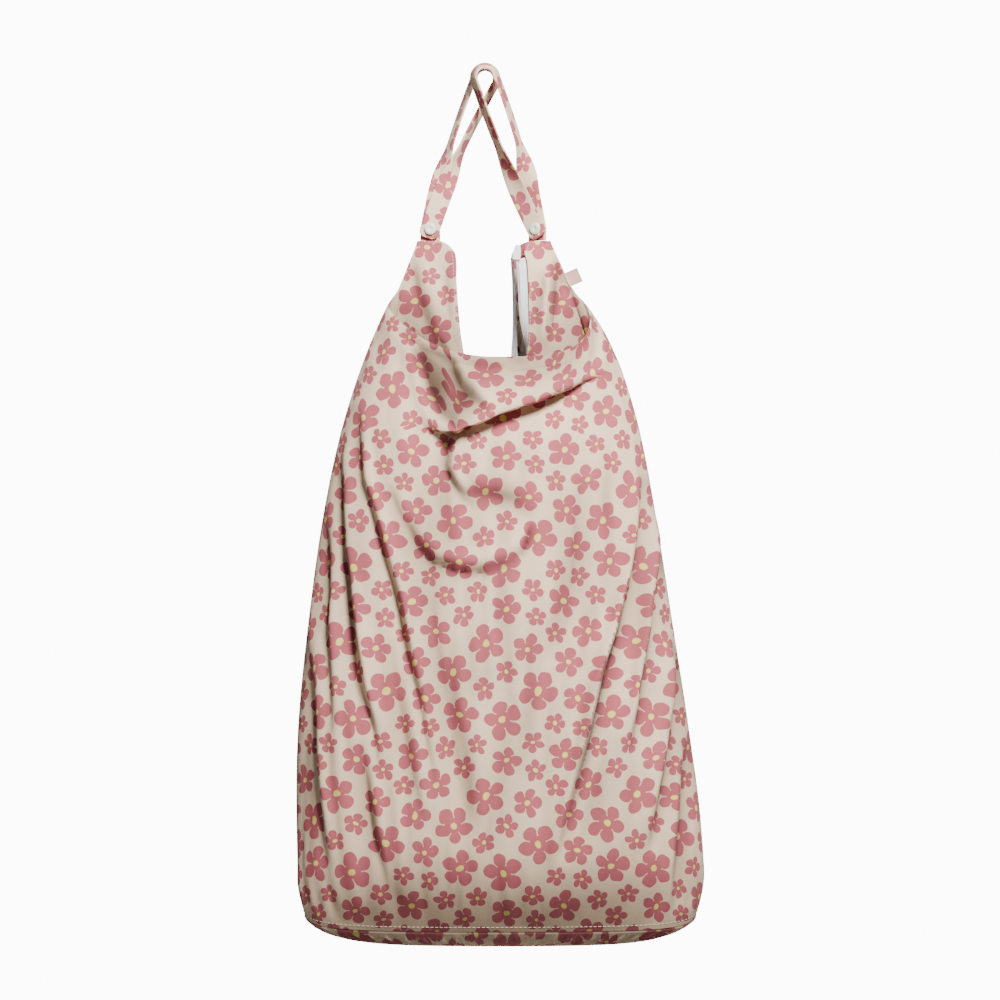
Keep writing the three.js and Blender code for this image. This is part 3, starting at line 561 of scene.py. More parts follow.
# Painted shade in the cloth's colour (0 to 1) where little light reaches it, and its small forms there, in metres.
HEM_SHADE = 0.45
UNDER_SHADE = 0.68
ROLL_SHADE = 0.6
SWAG_SHADE = 0.5
COLLAR_SHADE = 0.55
ROLL_GROOVE = 0.0022
HEM_PUCKER = 0.0009
SLACK_SHADE = 0.35


def through_keys(keys, places):
    """Rows of points on the smooth curves through the keys, at fractional key numbers."""
    steps = np.sqrt(np.maximum(np.linalg.norm(np.diff(keys, axis=0), axis=-1), 1e-9))
    knots = np.concatenate([np.zeros((1, keys.shape[1])), np.cumsum(steps, axis=0)])[..., None]
    before = np.maximum(np.arange(len(keys)) - 1, 0)
    after = np.minimum(np.arange(len(keys)) + 1, len(keys) - 1)
    tangent = (keys[after] - keys[before]) / (knots[after] - knots[before])
    i = np.minimum(places.astype(int), len(keys) - 2)
    t = (places - i)[:, None, None]
    span = knots[i + 1] - knots[i]
    start = (2 * t**3 - 3 * t**2 + 1) * keys[i] + (t**3 - 2 * t**2 + t) * span * tangent[i]
    return start + (3 * t**2 - 2 * t**3) * keys[i + 1] + (t**3 - t**2) * span * tangent[i + 1]


def even_places(keys, rows):
    """Fractional key numbers for the rows: even along the cloth, and closer above the swag's lip than below."""
    fine = np.linspace(0, len(keys) - 1, 40 * len(keys))
    points = through_keys(keys, fine)
    closer = mix(1.7, 1.0, smooth((fine[:-1] - NECKLINE_KEY - 6) / 4))
    steps = np.linalg.norm(np.diff(points, axis=0), axis=-1).mean(axis=1) * closer
    run = np.concatenate([[0.0], np.cumsum(steps)])
    return np.interp(np.linspace(0, run[-1], rows), run, fine)


def line_distance(x, y, line):
    """Signed distance of points to a line of several stretches, and the share along it."""
    line = np.array(line)
    lengths = np.linalg.norm(np.diff(line, axis=0), axis=1)
    total = lengths.sum()
    best = np.full(x.shape, np.inf)
    off = np.zeros(x.shape)
    along = np.zeros(x.shape)
    run = 0.0
    for (ax, ay), (bx, by), length in zip(line[:-1], line[1:], lengths):
        ux, uy = (bx - ax) / length, (by - ay) / length
        t = np.clip((x - ax) * ux + (y - ay) * uy, 0.0, length)
        gap = np.hypot(x - ax - ux * t, y - ay - uy * t)
        side = np.sign((x - ax) * uy - (y - ay) * ux)
        closer = gap < best
        best = np.where(closer, gap, best)
        off = np.where(closer, gap * side, off)
        along = np.where(closer, (run + t) / total, along)
        run += length
    return off, along


def fold_height(folds, x, z):
    """How far the folds lift the cloth, in metres, and the painted shade they leave in its colour. Each steps down over
    its line.
    """
    size = sizes()
    aspect = size.height / size.width
    sx = x / size.width
    sy = -(-size.strap_drop - z) / size.height * aspect
    total = np.zeros(x.shape)
    shade = np.zeros(x.shape)
    for fold in folds:
        line = [(px, -level * aspect) for px, level in fold["line"]]
        off, along = line_distance(sx, sy, line)
        share = off / fold["width"] * fold["out"]
        ends = np.sin(np.clip(along, 0.0, 1.0) * math.pi) ** 0.7
        inner = np.exp(-np.abs(share) ** 1.4)
        outer = np.exp(-(np.abs(share) / fold["tail"]) ** 1.2)
        ridge = fold["ridge"] * np.exp(-(((share + 2.2) / 1.6) ** 2))
        low = np.where(share < 0, inner, outer)
        total += fold["depth"] * size.depth * ends * (ridge - low)
        dark = np.where(share < 0, inner, np.exp(-(np.abs(share) / fold["fade"]) ** 1.3))
        shade = np.maximum(shade, fold["shade"] * ends * dark)
    return total, shade


def hollow_height(x, z):
    """How far the broad hollows and swells move the front, in metres, and the painted shade they leave in its colour.
    """
    size = sizes()
    share = (x / size.width, (-size.strap_drop - z) / size.height)
    total = np.zeros(x.shape)
    shade = np.zeros(x.shape)
    for hollow in HOLLOWS:
        far = sum(((share[k] - hollow["at"][k]) / hollow["reach"][k]) ** 2 for k in range(2))
        total -= hollow["depth"] * size.depth * np.exp(-far)
        shade = np.maximum(shade, hollow["shade"] * np.exp(-far))
    return total, shade


def wrinkles(points, seed):
    """Slack in the cloth, in metres: broad waves, bands that run in from both sides on their way down, fine ones."""
    layers = [
        (0.0042, 0.06, 0.2, 0.0), (0.0032, 0.021, 0.19, 0.26), (0.0018, 0.024, 0.09, 0.1), (0.0007, 0.01, 0.03, 0.0)
    ]
    down = -sizes().strap_drop - points[..., 2]
    inward = down * np.tanh(points[..., 0] / 0.15)
    height = np.zeros(points.shape[:2])
    for r in range(points.shape[0]):
        for c in range(points.shape[1]):
            x, y, z = points[r, c]
            for depth, wide, tall, run_in in layers:
                place = Vector(((x + run_in * inward[r, c]) / wide + seed, y / wide, z / tall + seed))
                height[r, c] += depth * noise.noise(place)
    return height


def grid_normals(grid, side):
    across = np.empty_like(grid)
    down = np.empty_like(grid)
    across[:, 1:-1] = grid[:, 2:] - grid[:, :-2]
    across[:, 0] = grid[:, 1] - grid[:, 0]
    across[:, -1] = grid[:, -1] - grid[:, -2]
    down[1:-1] = grid[2:] - grid[:-2]
    down[0] = grid[1] - grid[0]
    down[-1] = grid[-1] - grid[-2]
    normals = np.cross(across, down) * side
    normals /= np.maximum(np.linalg.norm(normals, axis=-1, keepdims=True), 1e-12)
    normals[:, [0, -1]] = (0.0, side, 0.0)
    return normals


def flat_places(grid, places):
    """Where each point lay in the flat cloth: across from the middle column, and down from the neckline."""
    across = grid[:, 1:, :2] - grid[:, :-1, :2]
    run = np.concatenate([np.zeros((len(grid), 1)), np.cumsum(np.linalg.norm(across, axis=-1), axis=1)], axis=1)
    middle = grid.shape[1] // 2
    u = run - run[:, middle : middle + 1] + grid[:, middle : middle + 1, 0]
    along = np.gradient(grid, axis=1) * (1.0, 1.0, 0.0)
    along /= np.maximum(np.linalg.norm(along, axis=-1, keepdims=True), 1e-12)
    drop = np.diff(grid, axis=0)
    mean = along[:-1] + along[1:]
    mean /= np.maximum(np.linalg.norm(mean, axis=-1, keepdims=True), 1e-12)
    square = drop - (drop * mean).sum(axis=-1, keepdims=True) * mean
    v = np.concatenate([np.zeros((1, grid.shape[1])), -np.cumsum(np.linalg.norm(square, axis=-1), axis=0)])
    below_swag = int(np.searchsorted(places, BELOW_SWAG_KEY))
    v = v - v[below_swag : below_swag + 1] + grid[below_swag : below_swag + 1, :, 2]
    outside = smooth((places - NECKLINE_KEY + 1.5) / 1.5)[:, None]
    return np.stack([mix(grid[..., 0], u, outside), mix(grid[..., 2], v, outside)], axis=-1)


SURFACES = {}


def panel_surface(side):
    """The draped panel: its outer points, normals, flat places, painted shade and the thickness of its rows."""
    if side in SURFACES:
        return SURFACES[side]
    size = sizes()
    rows, columns = (190, 255) if side == FRONT else (150, 201)
    across = np.linspace(-1, 1, columns)
    keys = column_keys(across, side)
    places = even_places(keys, rows)
    grid = through_keys(keys, places)
    flat = flat_places(grid, places)
    normals = grid_normals(grid, side)
    z = grid[..., 2]
    below = smooth((neckline_z(across, side)[None] - z) / 0.014)
    hidden = (smooth((FIRST_OUTSIDE_KEY - places) / 1.0) if side == FRONT else 0.0 * places)[:, None]
    seam_fade = smooth((1 - np.abs(across)) / 0.16)[None]
    hem_fade = smooth((places[-1] - places) / 2.2)[:, None]
    rim_fade = smooth(places / 0.8)[:, None]
    fade = seam_fade * hem_fade * rim_fade
    # The mask below gathers painted shade for the cloth's colour: in the folds and hollows, low in the middle, at the
    # hem, round the neckline and behind it, and in the wrinkles' hollows.
    lift, painted_shade = fold_height(FRONT_FOLDS if side == FRONT else BACK_FOLDS, grid[..., 0], z)
    if side == FRONT:
        hollow, dim = hollow_height(grid[..., 0], z)
        lift += hollow
        painted_shade = 1 - (1 - painted_shade) * (1 - dim)
    lift *= below
    painted_shade *= below
    level = (-size.strap_drop - z) / size.height
    inward = smooth((0.86 - np.abs(across)) / 0.5)[None]
    # Painted shade low in the middle, darker towards the bottom, and along the hem.
    painted_shade = np.maximum(painted_shade, UNDER_SHADE * smooth((level - 0.83) / 0.12) * inward)
    painted_shade = np.maximum(painted_shade, HEM_SHADE * smooth(1 - (places[-1] - places) / 1.6)[:, None])
    if side == FRONT:
        collar_lift, collar_shade = fold_height(COLLAR_FOLDS, grid[..., 0], z)
        lift += collar_lift * (1 - below)
        painted_shade = np.maximum(painted_shade, collar_shade * (1 - below))
        under = neckline_z(across, side)[None] - z
        outside = (places > NECKLINE_KEY)[:, None]
        groove = np.exp(-(((under - 0.0075) / 0.0032) ** 2)) * outside * inward
        lift -= ROLL_GROOVE * groove
        # Painted shade in the groove below the neckline, on the swag under it and on the collar behind it.
        painted_shade = np.maximum(painted_shade, ROLL_SHADE * groove)
        painted_shade = np.maximum(painted_shade, SWAG_SHADE * np.exp(-((under / 0.03) ** 2)) * outside * inward)
        behind = smooth(1 + under / 0.034) * (places < NECKLINE_KEY)[:, None]
        painted_shade = np.maximum(painted_shade, COLLAR_SHADE * behind)
    pucker = np.sin(44 * across + 2.2 * np.sin(9.5 * across))[None] * smooth((level - 0.89) / 0.05)
    lift += HEM_PUCKER * pucker
    lift *= fade
    calm = 1 - (0.6 * np.exp(-(((places - 10) / 2.5) ** 2)) if side == FRONT else 0.0 * places)[:, None]
    slack = wrinkles(grid, 3.0 * side) * fade * (1 - hidden) * calm
    lift += slack
    # Painted shade in the hollows of the wrinkles.
    painted_shade = np.maximum(painted_shade, SLACK_SHADE * smooth(-slack / 0.0035))
    forward = mix(normals, np.array([0.0, side, 0.0]), hidden[..., None])
    grid = grid + forward * lift[..., None]
    thickness = size.cloth * (
        mix(0.35, 1.0, np.abs(smooth((places - 3.5) / 4) * 2 - 1)) if side == FRONT else np.ones(rows)
    )
    SURFACES[side] = (grid, grid_normals(grid, side), flat, painted_shade, thickness)
    return SURFACES[side]


def mesh_object(name, points, faces, uv=None, smooth_angle=50):
    mesh = bpy.data.meshes.new(name)
    mesh.from_pydata([tuple(p) for p in points], [], [tuple(f) for f in faces])
    if uv is not None:
        layer = mesh.uv_layers.new(name="cloth")
        corner = np.empty(len(mesh.loops), dtype=np.int32)
        mesh.loops.foreach_get("vertex_index", corner)
        layer.data.foreach_set("uv", np.asarray(uv, dtype=np.float32)[corner].ravel())
    mesh.shade_smooth()
    mesh.set_sharp_from_angle(angle=math.radians(smooth_angle))
    made = bpy.data.objects.new(name, mesh)
    bpy.context.scene.collection.objects.link(made)
    return made


def dress(piece, slot, *materials):
    """Gives a piece its finish and its place on the frame."""
    for material in materials:
        piece.data.materials.append(material)
    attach(piece, "root")


def sheet_between(outer, inner, side, closed=False):
    """Points and faces of a closed sheet between two grids, with the outer faces first."""
    rows, columns = outer.shape[:2]
    index = np.arange(rows * columns).reshape(rows, columns)
    a, b, c, d = index[:-1, :-1], index[1:, :-1], index[1:, 1:], index[:-1, 1:]
    front = np.stack([a, b, c, d], axis=-1).reshape(-1, 4)
    back = front[:, ::-1] + rows * columns
    edge = np.concatenate([index[0, :-1], index[:-1, -1], index[-1, :0:-1], index[:0:-1, 0]])
    after = np.roll(edge, -1)
    rim = np.stack([edge, after, after + rows * columns, edge + rows * columns], axis=-1)
    faces = np.concatenate([front, rim, back])
    if side == BACK:
        faces = faces[:, ::-1]
    points = np.concatenate([outer.reshape(-1, 3), inner.reshape(-1, 3)])
    return points, faces, len(front) + len(rim)


def finish_sheet(piece, first_inner):
    """Gives the sheet's inside the lining."""
    slots = np.zeros(len(piece.data.polygons), dtype=np.int32)
    slots[first_inner:] = 1
    piece.data.polygons.foreach_set("material_index", slots)


# Shader helpers


def add_node(tree, kind, inputs=None, **settings):
    node = tree.nodes.new(kind)
    for key, value in settings.items():
        setattr(node, key, value)
    for key, value in (inputs or {}).items():
        if isinstance(value, bpy.types.NodeSocket):
            tree.links.new(value, node.inputs[key])
        else:
            node.inputs[key].default_value = value
    return node


def math_node(tree, operation, *values, clamp=False):
    node = add_node(tree, "ShaderNodeMath", dict(enumerate(values)), operation=operation, use_clamp=clamp)
    return node.outputs[0]


def new_group(name, inputs, outputs):
    """A shader node group with named sockets: (name, kind, default) in and (name, kind) out."""
    group = bpy.data.node_groups.new(name, "ShaderNodeTree")
    for label, kind, default in inputs:
        socket = group.interface.new_socket(name=label, in_out="INPUT", socket_type=f"NodeSocket{kind}")
        if default is not None:
            socket.default_value = default
    for label, kind in outputs:
        group.interface.new_socket(name=label, in_out="OUTPUT", socket_type=f"NodeSocket{kind}")
    return group, group.nodes.new("NodeGroupInput").outputs, group.nodes.new("NodeGroupOutput").inputs


def use_group(tree, group, inputs=None):
    node = tree.nodes.new("ShaderNodeGroup")
    node.node_tree = group
    for key, value in (inputs or {}).items():
        if isinstance(value, bpy.types.NodeSocket):
            tree.links.new(value, node.inputs[key])
        else:
            node.inputs[key].default_value = value
    return node.outputs


def once(name, build):
    """Builds a node group the first time it is asked for."""
    return bpy.data.node_groups.get(name) or build(name)


def flower_group(name):
    """One five-petal flower of a repeating print."""
    group, given, made = new_group(
        name,
        [
            ("Place", "Vector", None),
            ("Centre", "Vector", None),
            ("Repeat", "Float", 0.15),
            ("Radius", "Float", 0.02),
            ("Turn", "Float", 0.0),
        ],
        [("Petals", "Float"), ("Eye", "Float")],
    )
    half = math_node(group, "MULTIPLY", given["Repeat"], 0.5)
    less = math_node(group, "MULTIPLY", given["Repeat"], -0.5)
    high = add_node(group, "ShaderNodeCombineXYZ", {0: half, 1: half, 2: half}).outputs[0]
    low = add_node(group, "ShaderNodeCombineXYZ", {0: less, 1: less, 2: less}).outputs[0]
    off = add_node(
        group, "ShaderNodeVectorMath", {0: given["Place"], 1: given["Centre"]}, operation="SUBTRACT"
    ).outputs[0]
    near = add_node(group, "ShaderNodeVectorMath", {0: off, 1: high, 2: low}, operation="WRAP").outputs[0]
    parts = add_node(group, "ShaderNodeSeparateXYZ", {0: near}).outputs
    reach = add_node(group, "ShaderNodeVectorMath", {0: near}, operation="LENGTH").outputs["Value"]
    r = math_node(group, "DIVIDE", reach, given["Radius"])
    angle = math_node(group, "ADD", math_node(group, "ARCTAN2", parts[1], parts[0]), given["Turn"])
    fold = math_node(group, "PINGPONG", angle, math.pi / 5)
    petal_centre, petal_radius = 0.645, 0.358
    square = math_node(group, "MULTIPLY", r, r)
    lobe = math_node(
        group, "MULTIPLY", math_node(group, "MULTIPLY", r, math_node(group, "COSINE", fold)), 2 * petal_centre
    )
    lobe = math_node(group, "ADD", math_node(group, "SUBTRACT", lobe, square), petal_radius**2 - petal_centre**2)
    middle = math_node(group, "SUBTRACT", 0.42**2, square)
    shape = math_node(group, "MAXIMUM", lobe, middle)
    petals = math_node(group, "MULTIPLY_ADD", shape, 45.0, 0.5, clamp=True)
    uneven = math_node(
        group, "MULTIPLY_ADD", math_node(group, "SINE", math_node(group, "MULTIPLY", angle, 2.0)), 0.07, 1.0
    )
    eye = math_node(group, "SUBTRACT", 0.175, math_node(group, "MULTIPLY", r, uneven))
    group.links.new(petals, made["Petals"])
    group.links.new(math_node(group, "MULTIPLY_ADD", eye, 30.0, 0.5, clamp=True), made["Eye"])
    return group


def scatter_flowers():
    """Spreads the flowers of one repeat so that none touch, also across its edges."""
    look = looks()
    radius = np.repeat([look.large, look.medium, look.small], [5, 6, 10])
    rng = np.random.default_rng(look.seed)
    radius = radius * rng.uniform(0.94, 1.06, len(radius))
    place = rng.random((len(radius), 2)) * look.repeat
    want = radius[:, None] + radius[None] + look.spacing
    np.fill_diagonal(want, 0.0)
    for crowding in np.linspace(1.45, 1.0, 900):
        apart = place[:, None] - place[None]
        apart -= look.repeat * np.round(apart / look.repeat)
        gap = np.linalg.norm(apart, axis=-1) + 1e-9
        push = np.clip(want * crowding - gap, 0.0, None)
        place = (place + 0.3 * (apart / gap[..., None] * push[..., None]).sum(axis=1)) % look.repeat
    return zip(radius, place, rng.uniform(0, 2 * math.pi, len(radius)))


def print_group(name):
    """The whole print: masks of petals and eyes at a place of the flat cloth."""
    flower = once("Flower", flower_group)
    group, given, made = new_group(name, [("Place", "Vector", None)], [("Petals", "Float"), ("Eyes", "Float")])
    waver = add_node(group, "ShaderNodeTexNoise", {"Vector": given["Place"], "Scale": 52.0, "Detail": 1.5})
    centred = add_node(
        group, "ShaderNodeVectorMath", {0: waver.outputs["Color"], 1: (0.5, 0.5, 0.5)}, operation="SUBTRACT"
    )
    slight = add_node(group, "ShaderNodeVectorMath", {0: centred.outputs[0], 3: 0.0080}, operation="SCALE").outputs[0]
    place = add_node(group, "ShaderNodeVectorMath", {0: given["Place"], 1: slight}, operation="ADD").outputs[0]
    level = add_node(group, "ShaderNodeVectorMath", {0: place, 1: (1.0, 1.0, 0.0)}, operation="MULTIPLY").outputs[0]
    petals, eyes = None, None
    for radius, (x, y), turn in scatter_flowers():
        values = {"Place": level, "Centre": (x, y, 0.0), "Repeat": looks().repeat, "Radius": radius, "Turn": turn}
        drawn = use_group(group, flower, values)
        petals = drawn["Petals"] if petals is None else math_node(group, "MAXIMUM", petals, drawn["Petals"])
        eyes = drawn["Eye"] if eyes is None else math_node(group, "MAXIMUM", eyes, drawn["Eye"])
    group.links.new(petals, made["Petals"])
    group.links.new(eyes, made["Eyes"])
    return group


def knit_group(name):
    """Fine knit of the cloth: a height for its bump and a slight unevenness of colour."""
    group, given, made = new_group(
        name, [("Place", "Vector", None), ("Pitch", "Float", 0.0009)], [("Height", "Float"), ("Uneven", "Float")]
    )
    per_metre = math_node(group, "DIVIDE", 2 * math.pi, given["Pitch"])
    scaled = add_node(group, "ShaderNodeVectorMath", {0: given["Place"], 3: per_metre}, operation="SCALE").outputs[0]
    parts = add_node(group, "ShaderNodeSeparateXYZ", {0: scaled}).outputs
    ribs = math_node(group, "SINE", parts[0])
    loops = math_node(
        group,
        "SINE",
        math_node(group, "ADD", math_node(group, "MULTIPLY", parts[1], 1.3), math_node(group, "MULTIPLY", ribs, 0.8)),
    )
    fuzz = add_node(
        group, "ShaderNodeTexNoise", {"Vector": given["Place"], "Scale": 760.0, "Detail": 3.0}
    ).outputs["Fac"]
    height = math_node(group, "ADD", math_node(group, "MULTIPLY", math_node(group, "ADD", ribs, loops), 0.25), fuzz)
    patches = add_node(
        group, "ShaderNodeTexNoise", {"Vector": given["Place"], "Scale": 24.0, "Detail": 3.0}
    ).outputs["Fac"]
    group.links.new(height, made["Height"])
    group.links.new(
        math_node(group, "ADD", math_node(group, "MULTIPLY", patches, 0.55), math_node(group, "MULTIPLY", fuzz, 0.9)),
        made["Uneven"],
    )
    return group


def new_material(name, colour, roughness, **sockets):
    material = bpy.data.materials.new(name)
    material.use_nodes = True
    shader = material.node_tree.nodes["Principled BSDF"]
    shader.inputs["Base Color"].default_value = (*colour, 1.0)
    shader.inputs["Roughness"].default_value = roughness
    for key, value in sockets.items():
        shader.inputs[key.replace("_", " ")].default_value = value
    return material, material.node_tree, shader


def mix_colour(tree, share, a, b, blend="MIX"):
    node = tree.nodes.new("ShaderNodeMix")
    node.data_type = "RGBA"
    node.blend_type = blend
    for index, value in ((0, share), (6, a), (7, b)):
        if isinstance(value, bpy.types.NodeSocket):
            tree.links.new(value, node.inputs[index])
        else:
            node.inputs[index].default_value = value if index == 0 else (*value, 1.0)
    return node.outputs[2]


def bump(tree, shader, height, distance, strength=1.0):
    node = add_node(tree, "ShaderNodeBump", {"Height": height, "Distance": distance, "Strength": strength})
    tree.links.new(node.outputs[0], shader.inputs["Normal"])


def cloth_material(name, colour, printed, roughness=0.82):
    """Knit cloth on its flat places, with the flower print where it is printed."""
    if name in bpy.data.materials:
        return bpy.data.materials[name]
    material, tree, shader = new_material(
        name, colour, roughness, Sheen_Weight=0.08, Sheen_Roughness=0.4, Specular_IOR_Level=0.25
    )
    place = add_node(tree, "ShaderNodeUVMap", uv_map="cloth").outputs[0]
    knit = use_group(tree, once("Knit", knit_group), {"Place": place})
    ground = colour
    if printed:
        drawn = use_group(tree, once("Flower Print", print_group), {"Place": place})
        inked = mix_colour(tree, drawn["Petals"], colour, looks().petal)
        ground = mix_colour(tree, drawn["Eyes"], inked, looks().eye)
    shade = math_node(tree, "MULTIPLY_ADD", knit["Uneven"], 0.34, 0.75)
    grey = add_node(tree, "ShaderNodeCombineXYZ", {0: shade, 1: shade, 2: shade}).outputs[0]
    # Painted shade: the mesh's mask multiplies the cloth's colour towards a dark warm brown where shade would fall.
    painted_shade = add_node(tree, "ShaderNodeAttribute", attribute_name="painted_shade").outputs["Fac"]
    painted_shade_colour = mix_colour(tree, painted_shade, mix_colour(tree, 1.0, ground, grey, "MULTIPLY"), (0.07, 0.047, 0.035), "MULTIPLY")
    tree.links.new(painted_shade_colour, shader.inputs["Base Color"])
    tree.links.new(math_node(tree, "MULTIPLY_ADD", knit["Uneven"], 0.14, roughness - 0.1), shader.inputs["Roughness"])
    bump(tree, shader, knit["Height"], 0.00025, 0.6)
    return material


def print_cloth():
    return cloth_material("Print Cloth", tuple(looks().ground), True)


def lining_cloth():
    return cloth_material("Lining", tuple(looks().lining), False, 0.6)


def moulded_material(name, colour, roughness):
    """Moulded plastic with faint flow marks."""
    if name in bpy.data.materials:
        return bpy.data.materials[name]
    material, tree, shader = new_material(name, colour, roughness, Coat_Weight=0.15)
    where = add_node(tree, "ShaderNodeTexCoord").outputs["Object"]
    flow = add_node(tree, "ShaderNodeTexNoise", {"Vector": where, "Scale": 260.0, "Detail": 3.0}).outputs["Fac"]
    tint = mix_colour(tree, flow, tuple(0.93 * c for c in colour), tuple(min(1.0, 1.04 * c) for c in colour))
    tree.links.new(tint, shader.inputs["Base Color"])
    tree.links.new(math_node(tree, "MULTIPLY_ADD", flow, 0.2, roughness - 0.1), shader.inputs["Roughness"])
    bump(tree, shader, flow, 0.0001, 0.3)
    return material


def woven_material(name, colour, pitch):
    """Closely woven tape."""
    if name in bpy.data.materials:
        return bpy.data.materials[name]
    material, tree, shader = new_material(name, colour, 0.7, Sheen_Weight=0.2, Specular_IOR_Level=0.3)
    place = add_node(tree, "ShaderNodeUVMap", uv_map="cloth").outputs[0]
    knit = use_group(tree, once("Knit", knit_group), {"Place": place, "Pitch": pitch})
    shade = math_node(tree, "MULTIPLY_ADD", knit["Height"], 0.14, 0.9)
    grey = add_node(tree, "ShaderNodeCombineXYZ", {0: shade, 1: shade, 2: shade}).outputs[0]
    tree.links.new(mix_colour(tree, 1.0, colour, grey, "MULTIPLY"), shader.inputs["Base Color"])
    bump(tree, shader, knit["Height"], 0.0002, 0.7)
    return material


# Pieces


def make_panel(name, side, node):
    grid, normals, flat, painted_shade, thickness = panel_surface(side)
    points, faces, first_inner = sheet_between(grid, grid - normals * thickness[:, None, None], side)
    uv = flat.reshape(-1, 2) + (0.0 if side == FRONT else 0.071)
    piece = mesh_object(name, points, faces, np.concatenate([uv, uv]))
    # The mask of painted shade that darkens the cloth's colour.
    mask = piece.data.attributes.new("painted_shade", "FLOAT", "POINT")
    mask.data.foreach_set("value", np.concatenate([painted_shade.ravel(), painted_shade.ravel()]).astype(np.float32))
    dress(piece, "print_cloth", print_cloth(), lining_cloth())
    facing = max(1, round(0.014 / np.linalg.norm(grid[1] - grid[0], axis=-1).mean())) * (grid.shape[1] - 1)
    finish_sheet(piece, first_inner + facing)
    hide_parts(node)
    flat, area = panel_cut(side)
    return piece


def half_section(half_width, reach):
    """Points over one half of a smooth section of the bag."""
    angle = np.linspace(0.0, math.pi, 121)
    x = half_width * np.sign(np.cos(angle)) * np.abs(np.cos(angle)) ** (2 / SECTION_POWER)
    return x, reach * np.abs(np.sin(angle)) ** (2 / SECTION_POWER)


def cut_levels():
    """Half width of the bag and its reaches to the front, back and side seam, down to the base seam."""
    size = sizes()
    level = np.linspace(0.0, 1 - size.base_sag / size.height, 60)
    half = mix(size.neck, size.width, np.interp(level, SECTIONS["level"], SECTIONS["flare"])) / 2
    reach = {
        name: np.interp(level, SECTIONS["level"], SECTIONS[name]) * size.depth for name in ("front", "back", "seam")
    }
    return level * size.height, half, reach


def panel_cut(side):
    """Flat size and area that a panel is cut to, worked out from the named sizes before any fold or drape."""
    size = sizes()
    down, half, reach = cut_levels()
    face = reach["front"] if side == FRONT else reach["back"]
    girth = [np.hypot(*np.diff(half_section(w, d))).sum() for w, d in zip(half, np.abs(face - reach["seam"]))]
    girth = np.array(girth)
    run = np.hypot(np.diff(down), np.diff(face))
    area = ((girth[1:] + girth[:-1]) / 2 * run).sum() - size.mouth_width * size.mouth_drop
    hidden = 2 * size.turn_in if side == FRONT else 0.0
    area += hidden * np.interp(size.neckline_drop, down, girth)
    return (float(girth.max()), float(run.sum() + hidden)), float(area)


class WETBAG_OT_front(bpy.types.Operator):
    """The front of the shell with its draped neckline and swag"""

    bl_idname = "wetbag.front"
    bl_label = "Front"

    def execute(self, context):
        make_panel("front_shell", FRONT, "front_panel")
        return {"FINISHED"}


class WETBAG_OT_back(bpy.types.Operator):
    """The back of the shell"""

    bl_idname = "wetbag.back"
    bl_label = "Back"

    def execute(self, context):
        make_panel("back_shell", BACK, "back_panel")
        return {"FINISHED"}


class WETBAG_OT_base(bpy.types.Operator):
    """The boxed base below the seam of both panels"""

    bl_idname = "wetbag.base"
    bl_label = "Base"

    def execute(self, context):
        size = sizes()
        front = panel_surface(FRONT)[0][-1]
        back = panel_surface(BACK)[0][-1][::-1]
        ring = np.concatenate([front[:-1], back[:-1]])
        ring[:, 2] -= 1.5 * size.gap
        middle = ring.mean(axis=0)
        seam = seam_z()
        rings = 15
        rows = []
        for i in range(rings):
            share = 1 - (i / rings) ** 2.5 * 0.985
            row = mix(middle, ring, share)
            row[:, 2] = mix(seam, ring[:, 2], share**3) - size.base_sag * (1 - share**6)
            pucker = np.sin(np.arange(len(ring)) * 2.1) + np.sin(np.arange(len(ring)) * 0.73 + 1.0)
            row[:, 2] += 0.001 * pucker * smooth((1 - share) / 0.04) * smooth((share - 0.6) / 0.35)
            rows.append(np.concatenate([row, row[:1]]))
        inner = np.array(rows)
        outer = inner - np.array([0.0, 0.0, size.cloth])
        rows_count, columns = inner.shape[:2]
        index = np.arange(rows_count * (columns - 1)).reshape(rows_count, columns - 1)
        index = np.concatenate([index, index[:, :1]], axis=1)
        a, b, c, d = index[:-1, :-1], index[1:, :-1], index[1:, 1:], index[:-1, 1:]
        under = np.stack([a, b, c, d], axis=-1).reshape(-1, 4)[:, ::-1]
        count = rows_count * (columns - 1)
        over = under[:, ::-1] + count
        lip = np.stack([index[0, :-1], index[0, 1:], index[0, 1:] + count, index[0, :-1] + count], axis=-1)
        last = index[-1, :-1]
        points = np.concatenate([outer[:, :-1].reshape(-1, 3), inner[:, :-1].reshape(-1, 3)])
        faces = [tuple(f) for f in np.concatenate([under, lip])] + [tuple(last[::-1])]
        first_inner = len(faces)
        faces += [tuple(f) for f in over] + [tuple(last + count)]
        uv = points[:, :2] * (1.0, -1.0) + (0.03, 0.06)
        piece = mesh_object("base_gusset", points, faces, uv)
        # The whole base gets one even painted shade, darker than the panels, as it faces down.
        mask = piece.data.attributes.new("painted_shade", "FLOAT", "POINT")
        mask.data.foreach_set("value", np.full(len(points), 0.6, dtype=np.float32))
        dress(piece, "print_cloth", print_cloth(), lining_cloth())
        finish_sheet(piece, first_inner)
        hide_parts("base_panel")
        return {"FINISHED"}


